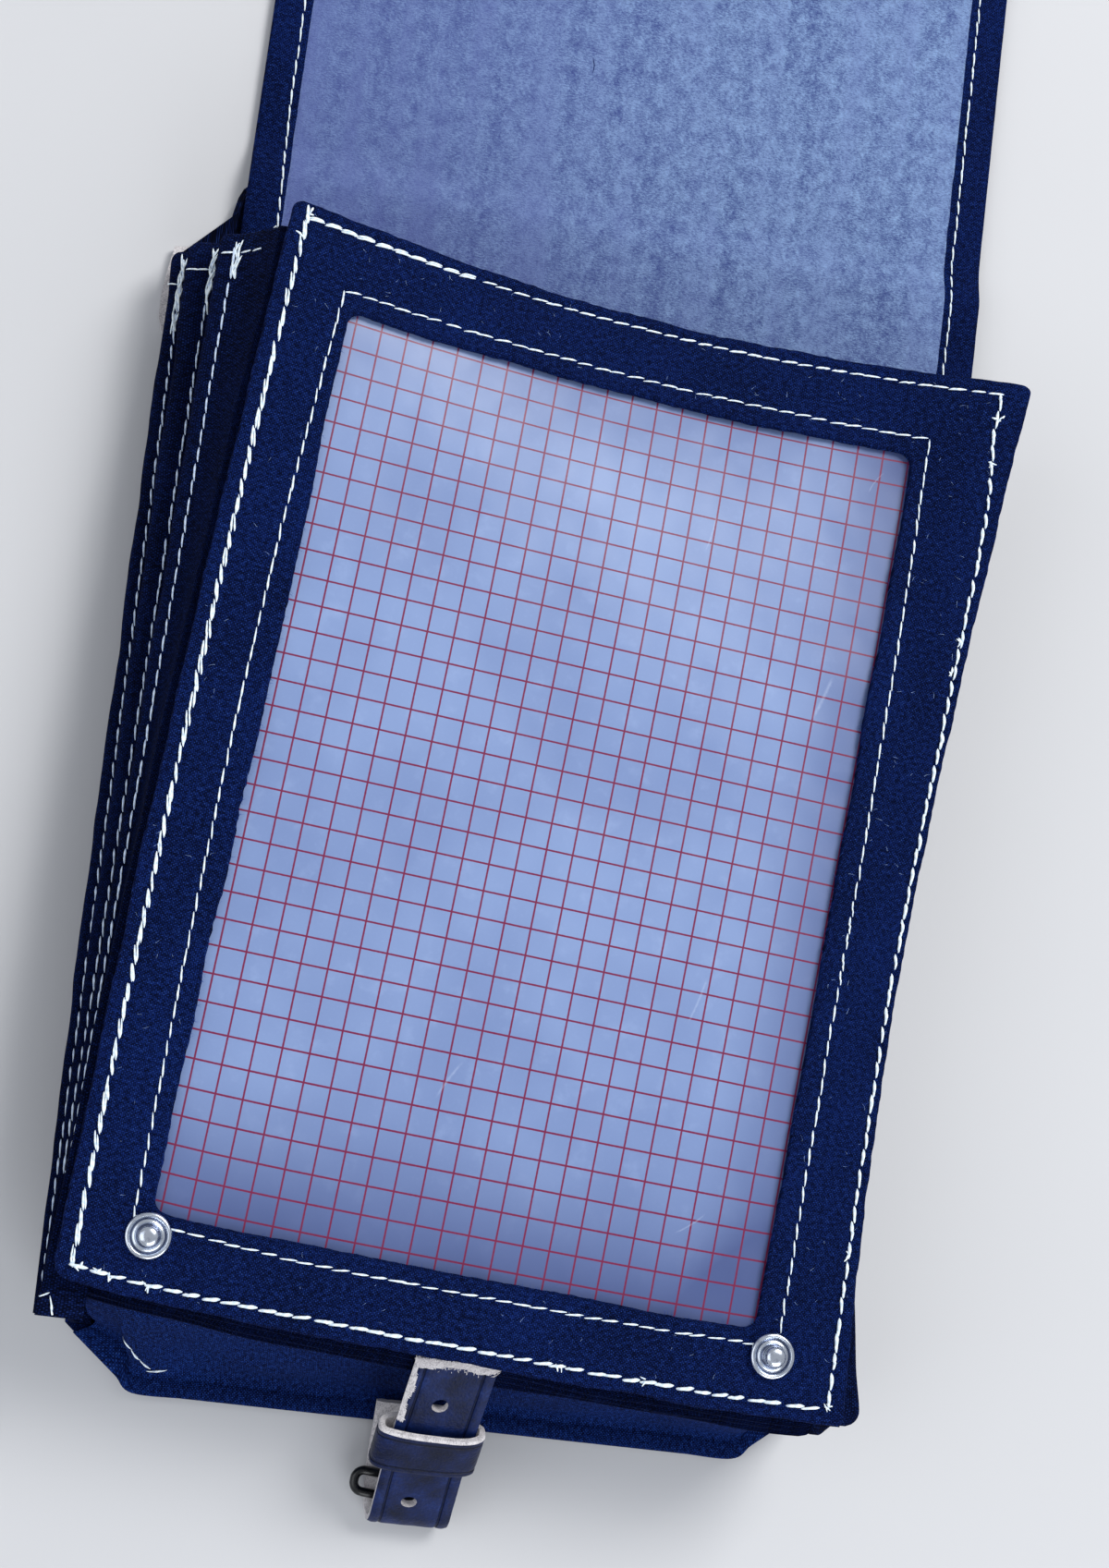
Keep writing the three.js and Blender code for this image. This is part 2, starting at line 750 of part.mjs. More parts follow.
function flapHalfAt(y, inset) {
  const corner = flapCorner - inset;
  const past = y - (flapEnd - inset - corner);
  const narrow = past > 0 ? corner - Math.sqrt(Math.max(corner * corner - past * past, 0)) : 0;
  const root = flapRootInset * clamp((shoulderY - y) / shoulderRun, 0, 1);
  return flapHalf - inset - narrow - root;
}

function flapRows(inset) {
  const end = flapEnd - inset;
  const corner = flapCorner - inset;
  const dropEnd = backLength + flapDrop.start + flapDrop.length;
  const rows = [inset > 0 ? flapRoot + seamGap : flapRoot, shoulderY - shoulderRun, shoulderY];
  for (const share of shares(4)) rows.push(dropEnd - flapDrop.length * (1 - share));
  for (const share of [0.35, 0.7, 1]) rows.push(lerp(dropEnd, end - corner, share));
  for (const angle of [25, 45, 62, 76])
    rows.push(end - corner + corner * Math.sin(THREE.MathUtils.degToRad(angle)));
  rows.push(end - corner * 0.005);
  return rows;
}

function flap() {
  const rows = flapRows(0);
  const half = (s, y) => (2 * s - 1) * flapHalfAt(y, 0);
  const body = sheet(
    shares(2),
    rows,
    (s, y) => [half(s, y), y, flapBase(y)],
    (s, y) => [half(s, y), y, flapBase(y) + canvasWall + hemWall],
  );
  const inner = flapRows(flapHem);
  inner.unshift(flapRoot - 5);
  const clear = seamGap / 2;
  const reach = (s, y) => (2 * s - 1) * (flapHalfAt(y, flapHem) + clear);
  const tray = sheet(
    shares(2),
    inner,
    (s, y) => [reach(s, y), y, flapBase(y) + canvasWall],
    (s, y) => [reach(s, y), y, flapBase(y) + canvasWall + 3 * hemWall],
  );
  return cut(body, [tray]);
}

function flapLining() {
  const rows = flapRows(flapHem);
  const clear = seamGap / 2;
  const half = (s, y) => (2 * s - 1) * (flapHalfAt(y, flapHem) - clear);
  const floor = (y) => flapBase(y) + canvasWall + clear;
  return sheet(
    shares(2),
    rows,
    (s, y) => [half(s, y), Math.min(y, flapEnd - flapHem - seamGap), floor(y)],
    (s, y) => [half(s, y), Math.min(y, flapEnd - flapHem - seamGap), floor(y) + liningWall],
  );
}

piece("flap", flap(), hemFinish);
piece("flap_lining", flapLining(), liningFinish);

// Press studs: a dished base with a rolled rim and a domed post
function studProfile() {
  const radius = studDiameter / 2;
  const head = studHead / 2;
  const rows = [
    { reach: 0, height: 0 },
    { reach: radius - 0.7, height: 0 },
    { reach: radius, height: 0.5 },
    { reach: radius - 0.2, height: 1.2 },
    { reach: radius - 0.9, height: 1.5 },
    { reach: radius - 1.6, height: 1.1 },
    { reach: head + 0.3, height: 0.8 },
    { reach: head - 0.4, height: 1.5 },
    { reach: head - 0.5, height: studHeight * 0.5 },
    { reach: head, height: studHeight * 0.68 },
    { reach: head - 0.3, height: studHeight * 0.86 },
    { reach: head * 0.55, height: studHeight * 0.97 },
    { reach: 0, height: studHeight },
  ];
  return rows.map((row) => new THREE.Vector2(row.reach, row.height));
}

const studSide = frontHalf - studSideInset;

function stud(name, side) {
  const v = studFootInset - frontReach;
  const u = side * studSide;
  const geometry = mergeVertices(bareLathe(studProfile(), 20), 1e-4);
  geometry.rotateX(Math.PI / 2);
  const mesh = piece(name, geometry, steelFinish);
  const top = frontPoint(u, v, -seamGap);
  const rimLift = frontPoint(side * (studSide + studDiameter / 2), v, -seamGap)[2] - top[2];
  mesh.position.set(top[0], top[1], top[2] + Math.max(rimLift, 0));
}

function bareLathe(profile, sidesRound) {
  const geometry = new THREE.LatheGeometry(profile, sidesRound);
  geometry.deleteAttribute("normal");
  geometry.deleteAttribute("uv");
  return geometry;
}

stud("stud_left", -1);
stud("stud_right", 1);

// Snap sockets at the far corners of the flap, which close on the studs
function socket(name, side) {
  const radius = studDiameter / 2;
  const hole = studHead / 2 - 0.1;
  const height = socketHeight;
  const rows = [
    { reach: 0, height: 0 },
    { reach: radius, height: 0 },
    { reach: radius, height: 0.8 },
    { reach: radius - 1.4, height },
    { reach: hole, height },
    { reach: hole, height: 0.9 },
    { reach: 0, height: 0.9 },
  ];
  const profile = rows.map((row) => new THREE.Vector2(row.reach, row.height));
  const geometry = mergeVertices(bareLathe(profile, 16), 1e-4);
  geometry.rotateX(Math.PI / 2);
  const mesh = piece(name, geometry, steelFinish);
  const liningTop = canvasWall + seamGap / 2 + liningWall;
  mesh.position.set(side * studSide, flapEnd - flapHem - studFootInset, liningTop + seamGap);
}

socket("snap_socket_left", -1);
socket("snap_socket_right", 1);

// Strap: out of the bottom seam, down to a fold, and up again to a raw end on the panel's foot
const strapStations = [
  { y: 0.24, z: 0.06, shift: -0.15 },
  { y: 0.02, z: 0.02, shift: -0.15 },
  { y: -0.33, z: -0.055, shift: -0.15 },
  { y: -0.62, z: -0.095, shift: -0.14 },
  { y: -0.85, z: -0.095, shift: -0.12 },
  { y: -0.95, z: -0.07, shift: -0.09 },
  { y: -0.985, z: -0.01, shift: -0.07 },
  { y: -0.93, z: 0.06, shift: -0.06 },
  { y: -0.75, z: 0.17, shift: -0.06 },
  { y: -0.3, z: 0.43, shift: -0.06 },
  { y: 0.25, z: 0.74, shift: -0.03 },
  { y: 0.86, z: 1.0, shift: 0.04 },
];
const strapRootZ = backTop + rimWall + seamGap + leatherWall / 2;

function strapLine() {
  const points = strapStations.map(
    (row) =>
      new THREE.Vector3(
        strapShift + strapWidth * row.shift,
        strapFold * row.y,
        strapRootZ + strapRise * row.z,
      ),
  );
  return new THREE.CatmullRomCurve3(points, false, "centripetal");
}

// Along the strap, the direction it runs in and the direction out of its face
function strapFrame(line, share) {
  const at = line.getPointAt(share);
  const run = line.getTangentAt(share);
  const face = new THREE.Vector3(0, -run.z, run.y).normalize();
  return { at, run, face };
}

const strapHoles = [
  { share: 0.465, aside: -1.4 },
  { share: 0.85, aside: -1 },
];

function strapSolid() {
  const line = strapLine();
  const sections = shares(30).map((share) => {
    const { at, face } = strapFrame(line, share);
    const half = strapWidth / 2;
    const out = face.clone().multiplyScalar(leatherWall / 2);
    const corner = (side, up) => {
      const p = at.clone().addScaledVector(out, up);
      return [p.x + side * half, p.y, p.z];
    };
    return [corner(-1, -1), corner(1, -1), corner(1, 1), corner(-1, 1)];
  });
  const plan = [
    [-1, -1],
    [1, -1],
    [1, 1],
    [-1, 1],
  ];
  const body = loft(sections, plan);
  const holes = strapHoles.map(({ share, aside }) => {
    const { at, face } = strapFrame(line, share);
    const tool = new THREE.CylinderGeometry(strapHole / 2, strapHole / 2, 3 * leatherWall, 12);
    tool.applyQuaternion(
      new THREE.Quaternion().setFromUnitVectors(new THREE.Vector3(0, 1, 0), face),
    );
    tool.translate(at.x + aside, at.y, at.z);
    return tool;
  });
  return cut(body, holes);
}

piece("closing_strap", strapSolid(), leatherFinish);

// Keeper: an oval leather loop round the strap's front run
const keeperShare = 0.69;
const keeperAside = -0.8;

function keeper() {
  const { at, run, face } = strapFrame(strapLine(), keeperShare);
  const side = new THREE.Vector3(1, 0, 0);
  const halfWide = strapWidth / 2 + keeperPlay + keeperWall;
  const halfDeep = leatherWall / 2 + keeperPlay + keeperWall;
  const steps = 28;
  const sections = Array.from({ length: steps }, (_, i) => {
    const angle = (i / steps) * 2 * Math.PI;
    const oval = (shrink) => {
      const c = Math.cos(angle);
      const s = Math.sin(angle);
      const flatten = (n) => Math.sign(n) * Math.pow(Math.abs(n), 0.55);
      return [(halfWide - shrink) * flatten(c), (halfDeep - shrink) * flatten(s)];
    };
    const point = (shrink, up) => {
      const [w, d] = oval(shrink);
      const p = at
        .clone()
        .addScaledVector(side, w + keeperAside)
        .addScaledVector(face, d)
        .addScaledVector(run, (up * keeperHeight) / 2);
      return [p.x, p.y, p.z];
    };
    return [point(0, -1), point(0, 1), point(keeperWall, 1), point(keeperWall, -1)];
  });
  return loft(sections);
}

piece("strap_keeper", keeper(), leatherFinish);

// Buckle: a rounded oblong of black wire lying in the strap's fold
function buckle() {
  const halfWide = (buckleWidth - wireDiameter) / 2;
  const halfTall = (buckleHeight - wireDiameter) / 2;
  const ring = roundedRing(halfWide, halfTall, halfTall * 0.9, 0, 0, 3);
  const steps = 8;
  const tilt = THREE.MathUtils.degToRad(-5);
  const sections = ring.map(([x, y], i) => {
    const [ax, ay] = ring[(i + ring.length - 1) % ring.length];
    const [bx, by] = ring[(i + 1) % ring.length];
    const along = new THREE.Vector3(bx - ax, by - ay, 0).normalize();
    const out = new THREE.Vector3(along.y, -along.x, 0);
    return Array.from({ length: steps }, (_, k) => {
      const angle = (k / steps) * 2 * Math.PI;
      const p = new THREE.Vector3(x, y, 0)
        .addScaledVector(out, (Math.cos(angle) * wireDiameter) / 2)
        .add(new THREE.Vector3(0, 0, (Math.sin(angle) * wireDiameter) / 2));
      return [p.x, p.y, p.z];
    }).reverse();
  });
  const geometry = loft(sections);
  geometry.rotateZ(tilt);
  return geometry;
}

// Its place is a station of the strap's rear run, and it lies on that run.
const buckleStation = { y: -0.66, z: -0.095, shift: -0.16 };
const buckleRest = leatherWall / 2 + seamGap + wireDiameter / 2 + 0.4;
const buckleMesh = piece("buckle", buckle(), wireFinish);
buckleMesh.position.set(
  strapShift + strapWidth * buckleStation.shift,
  strapFold * buckleStation.y,
  strapRootZ + strapRise * buckleStation.z + buckleRest,
);

// Leather tabs for a carrying strap, sewn at the rear edge by the mouth
const tabShorter = 2;
const tabCorner = 7;
const tabLift = 0.4;

function tab(name, side) {
  const inner = backEdge(side, side.mouthY) + seamGap + 0.3;
  const reach = side.sign > 0 ? tabReach - tabShorter : tabReach;
  const low = side.mouthY - tabLength * 0.7;
  const plan = new THREE.Shape();
  const round = tabCorner;
  plan.moveTo(0, 0);
  plan.lineTo(reach - round, 0);
  plan.quadraticCurveTo(reach, 0, reach, round);
  plan.lineTo(reach, tabLength * 0.62);
  plan.quadraticCurveTo(reach, tabLength * 0.85, reach - round, tabLength * 0.88);
  plan.lineTo(0, tabLength);
  plan.closePath();
  const geometry = new THREE.ExtrudeGeometry(plan, {
    depth: leatherWall,
    bevelEnabled: false,
    curveSegments: 5,
  });
  if (side.sign < 0) geometry.rotateY(Math.PI).translate(0, 0, leatherWall);
  const mesh = piece(name, geometry, paleLeatherFinish);
  mesh.position.set(side.sign * inner, low, tabLift);
}

tab("strap_tab_left", sides.left);
tab("strap_tab_right", sides.right);

// The origin stands under the middle of the whole case.
const box = new THREE.Box3().setFromObject(group);
group.position.set(-(box.min.x + box.max.x) / 2, -(box.min.y + box.max.y) / 2, 0);

export default group;
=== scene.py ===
# %% [markdown]
# # A canvas map case, lying on its back with the flap thrown open
#
# The frame below is the plain solid model of the case. Every soft piece of it is dressed here
# with a finer one: woven canvas, a clear window, brushed lining, leather and thread.

# %% The solid model and its box
import json

import bmesh
import bpy
import numpy as np
from mathutils import Matrix, Vector
from mathutils.bvhtree import BVHTree
from mathutils.geometry import delaunay_2d_cdt

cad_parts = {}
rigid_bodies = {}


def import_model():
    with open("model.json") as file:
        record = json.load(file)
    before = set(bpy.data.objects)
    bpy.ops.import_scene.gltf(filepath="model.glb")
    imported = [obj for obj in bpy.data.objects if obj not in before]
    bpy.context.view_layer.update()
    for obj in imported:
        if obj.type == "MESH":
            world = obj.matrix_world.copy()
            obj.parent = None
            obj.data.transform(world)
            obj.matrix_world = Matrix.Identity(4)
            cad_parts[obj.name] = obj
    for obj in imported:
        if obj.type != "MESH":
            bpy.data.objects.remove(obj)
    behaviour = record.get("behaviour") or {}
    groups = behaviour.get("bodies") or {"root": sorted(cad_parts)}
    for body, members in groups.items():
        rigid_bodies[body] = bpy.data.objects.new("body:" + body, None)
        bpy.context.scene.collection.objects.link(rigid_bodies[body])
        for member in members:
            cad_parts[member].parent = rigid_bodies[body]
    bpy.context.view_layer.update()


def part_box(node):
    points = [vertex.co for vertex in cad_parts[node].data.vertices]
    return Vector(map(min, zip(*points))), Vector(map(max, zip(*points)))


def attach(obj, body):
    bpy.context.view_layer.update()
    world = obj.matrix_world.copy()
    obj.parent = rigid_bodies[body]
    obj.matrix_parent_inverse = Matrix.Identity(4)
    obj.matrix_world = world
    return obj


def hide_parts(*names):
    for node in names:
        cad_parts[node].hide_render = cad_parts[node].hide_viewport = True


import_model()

MM = 0.001
flap_low, flap_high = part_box("flap")
back_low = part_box("back_panel")[0]
CASE_ORIGIN = np.array([(flap_low[0] + flap_high[0]) / 2, back_low[1], back_low[2]])
print("case origin in the part's frame", CASE_ORIGIN.round(5))

# %% [markdown]
# ## The case's own millimetres
#
# A pattern cutter works in millimetres from one corner. Here x runs across from the middle of
# the flap, y up from the foot of the back panel, and z up from the table. One function turns
# such points into the metres that the model uses.

# %% Points and blends
def placed(points):
    return np.asarray(points, float) * MM + CASE_ORIGIN


def lerp(a, b, t):
    return a + (b - a) * t


def smooth(x, low, high):
    t = np.clip((x - low) / (high - low), 0, 1)
    return t * t * (3 - 2 * t)


def unit(vectors):
    return vectors / np.maximum(np.linalg.norm(vectors, axis=-1, keepdims=True), 1e-9)


def stacked(*parts):
    """Points from one array, or one number, for each coordinate."""
    return np.stack(np.broadcast_arrays(*parts), axis=-1)


# %% Places along a bent line
def run_of(points):
    """How far along the line each of its points lies."""
    steps = np.linalg.norm(np.diff(points, axis=0), axis=1)
    return np.concatenate([[0], np.cumsum(steps)])


def at_run(along, run, points):
    return stacked(*[np.interp(along, run, column) for column in points.T])


def line(points, step=1.0):
    """Points about one step apart along a bent line."""
    points = np.asarray(points, float)
    run = run_of(points)
    return at_run(np.linspace(0, run[-1], max(int(run[-1] / step), 2)), run, points)


# %% Soft unevenness
RIPPLE_WAVES, RIPPLE_PEAK = 9, 1.6


def ripple(x, y, reach, seed):
    """Soft uneven cloth: a sum of slanting waves about as long as reach, from -1 to 1."""
    dice = np.random.default_rng(seed)
    total = 0 * x
    for _ in range(RIPPLE_WAVES):
        angle = dice.uniform(0, 2 * np.pi)
        length = reach * dice.uniform(0.6, 1.7)
        run = x * np.cos(angle) + y * np.sin(angle)
        total = total + np.sin(run * 2 * np.pi / length + dice.uniform(0, 2 * np.pi))
    return total / RIPPLE_WAVES ** 0.5 / RIPPLE_PEAK


# %% [markdown]
# ## Meshes from grids
#
# Cloth is a surface with a thickness. A grid of points gives the face that shows; the far face
# lies one wall below it, and the rim between them is rounded, as folded canvas is. Each corner
# of a face also gets its place on the cloth in millimetres, so that the weave keeps its size.

# %% One mesh with its cloth coordinates
CREASE_ANGLE = np.radians(50)


def build(name, points, faces, cloth, finishes, chosen=None):
    mesh = bpy.data.meshes.new(name)
    mesh.from_pydata(placed(points).tolist(), [], [tuple(map(int, f)) for f in faces])
    layer = mesh.uv_layers.new(name="cloth")
    layer.data.foreach_set("uv", np.asarray(cloth, np.float32).ravel())
    for finish in finishes:
        mesh.materials.append(finish)
    if chosen is not None:
        mesh.polygons.foreach_set("material_index", np.asarray(chosen, np.int32))
    work = bmesh.new()
    work.from_mesh(mesh)
    bmesh.ops.recalc_face_normals(work, faces=work.faces)
    work.to_mesh(mesh)
    work.free()
    mesh.shade_smooth()
    mesh.set_sharp_from_angle(angle=CREASE_ANGLE)
    made = bpy.data.objects.new(name, mesh)
    bpy.context.scene.collection.objects.link(made)
    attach(made, "root")
    print(name, len(faces), "faces")
    return made


# %% A sheet of cloth with rounded rims
def grid_normals(top, ring):
    if ring:
        padded = np.concatenate([top[-1:], top, top[:1]])
        across = np.gradient(padded, axis=0)[1:-1]
    else:
        across = np.gradient(top, axis=0)
    up = unit(np.cross(across, np.gradient(top, axis=1)))
    return up if up[..., 2].mean() > 0 else -up


def sheet_loops(n, m, ring):
    """The edges of an (n, m) grid: one round loop, or two where the grid is a ring."""
    if ring:
        return [np.array([(i, j) for i in range(n)]) for j in (0, m - 1)]
    sides = [(i, 0) for i in range(n)] + [(n - 1, j) for j in range(1, m)]
    sides += [(i, m - 1) for i in range(n - 2, -1, -1)] + [(0, j) for j in range(m - 2, 0, -1)]
    return [np.array(sides)]


RIM_STEPS, RIM_ROOM = 3, 0.45


def sheet(name, top, wall, cloth, finishes, ring=False):
    """top holds (n, m) points of the upper face; ring joins its last row to its first."""
    n, m = top.shape[:2]
    top = top.copy()
    bottom = top - wall * grid_normals(top, ring)
    here = lambda layer, i, j: (layer * n + i % n) * m + j
    points, faces, corners = [top.reshape(-1, 3), bottom.reshape(-1, 3)], [], []
    last = n if ring else n - 1
    i, j = [g.ravel() for g in np.meshgrid(np.arange(last), np.arange(m - 1), indexing="ij")]
    for layer in (0, 1):
        quad = [(i, j), (i + 1, j), (i + 1, j + 1), (i, j + 1)]
        faces.append(np.stack([here(layer, a, b) for a, b in quad], axis=1))
        corners.append(np.stack([cloth[a % n, b] for a, b in quad], axis=1))
    base = 2 * n * m
    for loop in sheet_loops(n, m, ring):
        ei, ej = loop.T
        ni = ei if ring else np.clip(ei, 1, n - 2)
        outward = top[ei, ej] - top[ni, np.clip(ej, 1, m - 2)]
        inset = np.minimum(wall / 2, RIM_ROOM * np.linalg.norm(outward, axis=1, keepdims=True))
        outward = unit(outward)
        high = top[ei, ej] - outward * inset
        low = bottom[ei, ej] - outward * inset
        points[0].reshape(n, m, 3)[ei, ej] = high
        points[1].reshape(n, m, 3)[ei, ej] = low
        k = np.arange(len(loop))
        rows = [here(0, ei, ej)]
        for step in range(1, RIM_STEPS + 1):
            turn = np.pi * step / (RIM_STEPS + 1)
            row = (high + low) / 2 + (high - low) / 2 * np.cos(turn)
            points.append(row + outward * inset * np.sin(turn))
            rows.append(base + k)
            base += len(loop)
        rows.append(here(1, ei, ej))
        ahead = (k + 1) % len(loop)
        at = cloth[ei, ej]
        for step, (near, far) in enumerate(zip(rows, rows[1:])):
            faces.append(np.stack([near[k], near[ahead], far[ahead], far[k]], axis=1))
            a, b = [np.array([0, edge * wall / (RIM_STEPS + 1)]) for edge in (step, step + 1)]
            corners.append(np.stack([at[k] + a, at[ahead] + a, at[ahead] + b, at[k] + b], axis=1))
    cloth_at = np.concatenate(corners).reshape(-1, 2)
    return build(name, np.concatenate(points), np.concatenate(faces), cloth_at, finishes)


# %% A closed tube through sections, for folded gussets, wire and thread
def rounded(sections, times):
    """Cuts the corners of each closed section, as a fold in thick cloth does."""
    for _ in range(times):
        ahead = np.roll(sections, -1, axis=1)
        pair = [lerp(sections, ahead, 0.25), lerp(sections, ahead, 0.75)]
        sections = np.stack(pair, axis=2).reshape(len(sections), -1, 3)
    return sections


def tube_parts(sections, ring, first=0):
    s, k = sections.shape[:2]
    span = s if ring else s - 1
    i, j = [g.ravel() for g in np.meshgrid(np.arange(span), np.arange(k), indexing="ij")]
    here = lambda a, b: first + (a % s) * k + b % k
    faces = np.stack([here(i, j), here(i, j + 1), here(i + 1, j + 1), here(i + 1, j)], axis=1)
    step = np.linalg.norm(np.roll(sections, -1, axis=1) - sections, axis=2).mean(axis=0)
    around = np.concatenate([[0], np.cumsum(step)])
    middle = sections.mean(axis=1)
    run = np.linalg.norm(np.roll(middle, -1, axis=0) - middle, axis=1)
    along = np.concatenate([[0], np.cumsum(run)])
    pair = [(around[j], along[i]), (around[j + 1], along[i])]
    pair += [(around[j + 1], along[i + 1]), (around[j], along[i + 1])]
    corners = np.stack([np.stack(p, axis=1) for p in pair], axis=1)
    return faces, corners


def tube(name, sections, finishes, ring=False):
    s, k = sections.shape[:2]
    faces, corners = tube_parts(sections, ring)
    faces, corners = list(faces), list(corners.reshape(-1, 2))
    if not ring:
        for end in (0, s - 1):
            faces.append(end * k + np.arange(k))
            corners += list(sections[end][:, [0, 2]])
    return build(name, sections.reshape(-1, 3), faces, np.array(corners), finishes)


# %% [markdown]
# ## Finishes as sums on sockets
#
# A finish is a small sum worked out at every point: so much weave, so much fading. `Field`
# lets such a sum be written with Python's own signs, and `Finish.node` makes any other node.

# %% Field and Finish
class Field:
    """One socket of a finish. Signs on it add Math nodes."""

    def __init__(self, finish, socket):
        self.finish = finish
        self.socket = socket

    def sum(self, operation, *values):
        values = dict(enumerate(values))
        return self.finish.node("ShaderNodeMath", {"operation": operation}, values)

    def __add__(self, other):
        return self.sum("ADD", self, other)

    def __sub__(self, other):
        return self.sum("SUBTRACT", self, other)

    def __rsub__(self, other):
        return self.sum("SUBTRACT", other, self)

    def __mul__(self, other):
        return self.sum("MULTIPLY", self, other)

    def __truediv__(self, other):
        return self.sum("DIVIDE", self, other)

    def __pow__(self, other):
        return self.sum("POWER", self, other)

    __radd__ = __add__
    __rmul__ = __mul__

    def sine(self):
        return self.sum("SINE", self)

    def size(self):
        return self.sum("ABSOLUTE", self)

    def part(self):
        return self.sum("FRACT", self)

    def least(self, other):
        return self.sum("MINIMUM", self, other)

    def most(self, other):
        return self.sum("MAXIMUM", self, other)

    def step(self, low, high, start=0.0, end=1.0):
        values = {0: self, 1: low, 2: high, 3: start, 4: end}
        settings = {"interpolation_type": "SMOOTHSTEP"}
        return self.finish.node("ShaderNodeMapRange", settings, values)


class Finish:
    """A material whose shader is fed by sums of fields."""

    def __init__(self, name, **constants):
        self.material = bpy.data.materials.new(name)
        self.material.use_nodes = True
        self.tree = self.material.node_tree
        self.shader = self.tree.nodes["Principled BSDF"]
        for socket, value in constants.items():
            self.shader.inputs[socket.replace("_", " ")].default_value = value

    def feed(self, socket, value):
        if isinstance(value, Field):
            self.tree.links.new(value.socket, socket)
        else:
            socket.default_value = value

    def node(self, kind, settings=None, inputs=None, output=0):
        made = self.tree.nodes.new(kind)
        for setting, value in (settings or {}).items():
            setattr(made, setting, value)
        for socket, value in (inputs or {}).items():
            self.feed(made.inputs[socket], value)
        return Field(self, made.outputs[output])

    def cloth(self):
        place = self.node("ShaderNodeUVMap", {"uv_map": "cloth"})
        split = self.node("ShaderNodeSeparateXYZ", None, {0: place})
        return split, Field(self, split.socket.node.outputs[1])

    def at(self, x, y, z=0.0):
        return self.node("ShaderNodeCombineXYZ", None, {0: x, 1: y, 2: z})

    def noise(self, place, scale, detail=3.0, rough=0.55):
        inputs = {"Vector": place, "Scale": scale, "Detail": detail, "Roughness": rough}
        return self.node("ShaderNodeTexNoise", None, inputs)

    def blend(self, share, first, second):
        inputs = {0: share, 6: first, 7: second}
        return self.node("ShaderNodeMix", {"data_type": "RGBA"}, inputs, 2)

    def bump(self, height, depth):
        inputs = {"Height": height, "Strength": 1.0, "Distance": depth * MM}
        return self.node("ShaderNodeBump", None, inputs)

    def paint(self, **fields):
        for socket, field in fields.items():
            self.feed(self.shader.inputs[socket.replace("_", " ")], field)
        return self.material


def dye(red, green, blue):
    """A colour as it is read off a screen, 0 to 255, made linear."""
    c = np.array([red, green, blue]) / 255
    linear = np.where(c <= 0.04045, c / 12.92, ((c + 0.055) / 1.055) ** 2.4)
    return (*linear.tolist(), 1.0)


# %% [markdown]
# ## Canvas
#
# Plain-woven cotton duck: each weft yarn goes over one warp yarn and under the next, so the
# face is a chequer of short bright floats with dark gaps. Two sines multiplied give that
# chequer, and slow noise along each yarn makes some of them thicker, as spun cotton is.

# %% Canvas finish
YARN_PITCH, ROW_PITCH = 0.47, 0.43
SWAY_ACROSS, SWAY_ALONG = 0.9, 0.7
TONE_OF_WEAVE, TONE_OF_YARNS, TONE_OF_WEAR = 0.7, 0.9, 0.5
CANVAS_RELIEF = 0.3


def weave(cloth, u, v):
    """Heights of the floats of both yarns; the warp's lie deeper than the weft's."""
    sway = cloth.noise(cloth.at(u, v), 0.22, 2.0) - 0.5
    yarns = ((u + sway * SWAY_ACROSS) * (np.pi / YARN_PITCH)).sine()
    rows = ((v + sway * SWAY_ALONG) * (np.pi / ROW_PITCH)).sine()
    over = yarns * rows
    thick = cloth.noise(cloth.at(u * 0.55, v * 1.5), 1.0, 2.0)
    slub = cloth.noise(cloth.at(u * 1.5, v * 0.9), 1.0, 2.0)
    weft = over.most(0.0) ** 0.5 * (0.55 + thick * 0.9)
    warp = (over * -1.0).most(0.0) ** 0.6 * (0.2 + slub * 0.6)
    return weft + warp, thick, slub


def canvas_finish(name, dark, mid, light):
    cloth = Finish(name, Roughness=0.95, Specular_IOR_Level=0.06)
    u, v = cloth.cloth()
    height, thick, slub = weave(cloth, u, v)
    wear = cloth.noise(cloth.at(u, v), 0.03, 4.0, 0.6)
    patch = cloth.noise(cloth.at(u, v), 0.9, 3.0, 0.75)
    uneven = (thick + slub + patch - 1.5) * TONE_OF_YARNS
    tone = height * TONE_OF_WEAVE + uneven + (wear - 0.5) * TONE_OF_WEAR
    body = cloth.blend(tone.step(0.0, 0.8), dark, mid)
    lint = (height * 0.5 + patch + thick * 0.4).step(1.05, 1.5)
    colour = cloth.blend(lint * 0.45, body, light)
    normal = cloth.bump(height + patch * 0.7, CANVAS_RELIEF)
    return cloth.paint(Base_Color=colour, Normal=normal)


navy = canvas_finish("navy_canvas", dye(2, 9, 38), dye(15, 38, 104), dye(62, 98, 172))
# A darker copy of the same canvas for the gussets and pocket walls: its darkness is painted shade
# for their deep folds.
shaded_pocket_navy = canvas_finish("shaded_pocket_canvas", dye(1, 5, 24), dye(9, 25, 74), dye(46, 78, 146))
print("canvas:", round(10 / YARN_PITCH), "warp and", round(10 / ROW_PITCH), "weft yarns in 10 mm")

# %% [markdown]
# ## Thread, window, lining
#
# The thread is thick bleached linen. The window is clear sheet over a pale backing, printed
# with a red grid 7 mm square; the sheet has gone a little milky and is scuffed. The flap is
# lined with cloth that has a short brushed nap, blotched where the nap lies over.

# %% Thread finish
def thread_finish(name, pale, shade):
    thread = Finish(name, Roughness=0.55, Specular_IOR_Level=0.35, Sheen_Weight=0.2)
    u, v = thread.cloth()
    twist = ((u * 2.6 + v * 3.4).sine() * 0.5 + 0.5) ** 2.0
    soil = thread.noise(thread.at(u, v), 0.35, 3.0)
    colour = thread.blend(twist * 0.35 + soil.step(0.5, 0.8) * 0.25, pale, shade)
    return thread.paint(Base_Color=colour, Normal=thread.bump(twist, 0.05))


white_thread = thread_finish("white_thread", dye(238, 248, 252), dye(140, 182, 230))
shaded_thread = thread_finish("shaded_thread", dye(212, 228, 250), dye(120, 156, 216))

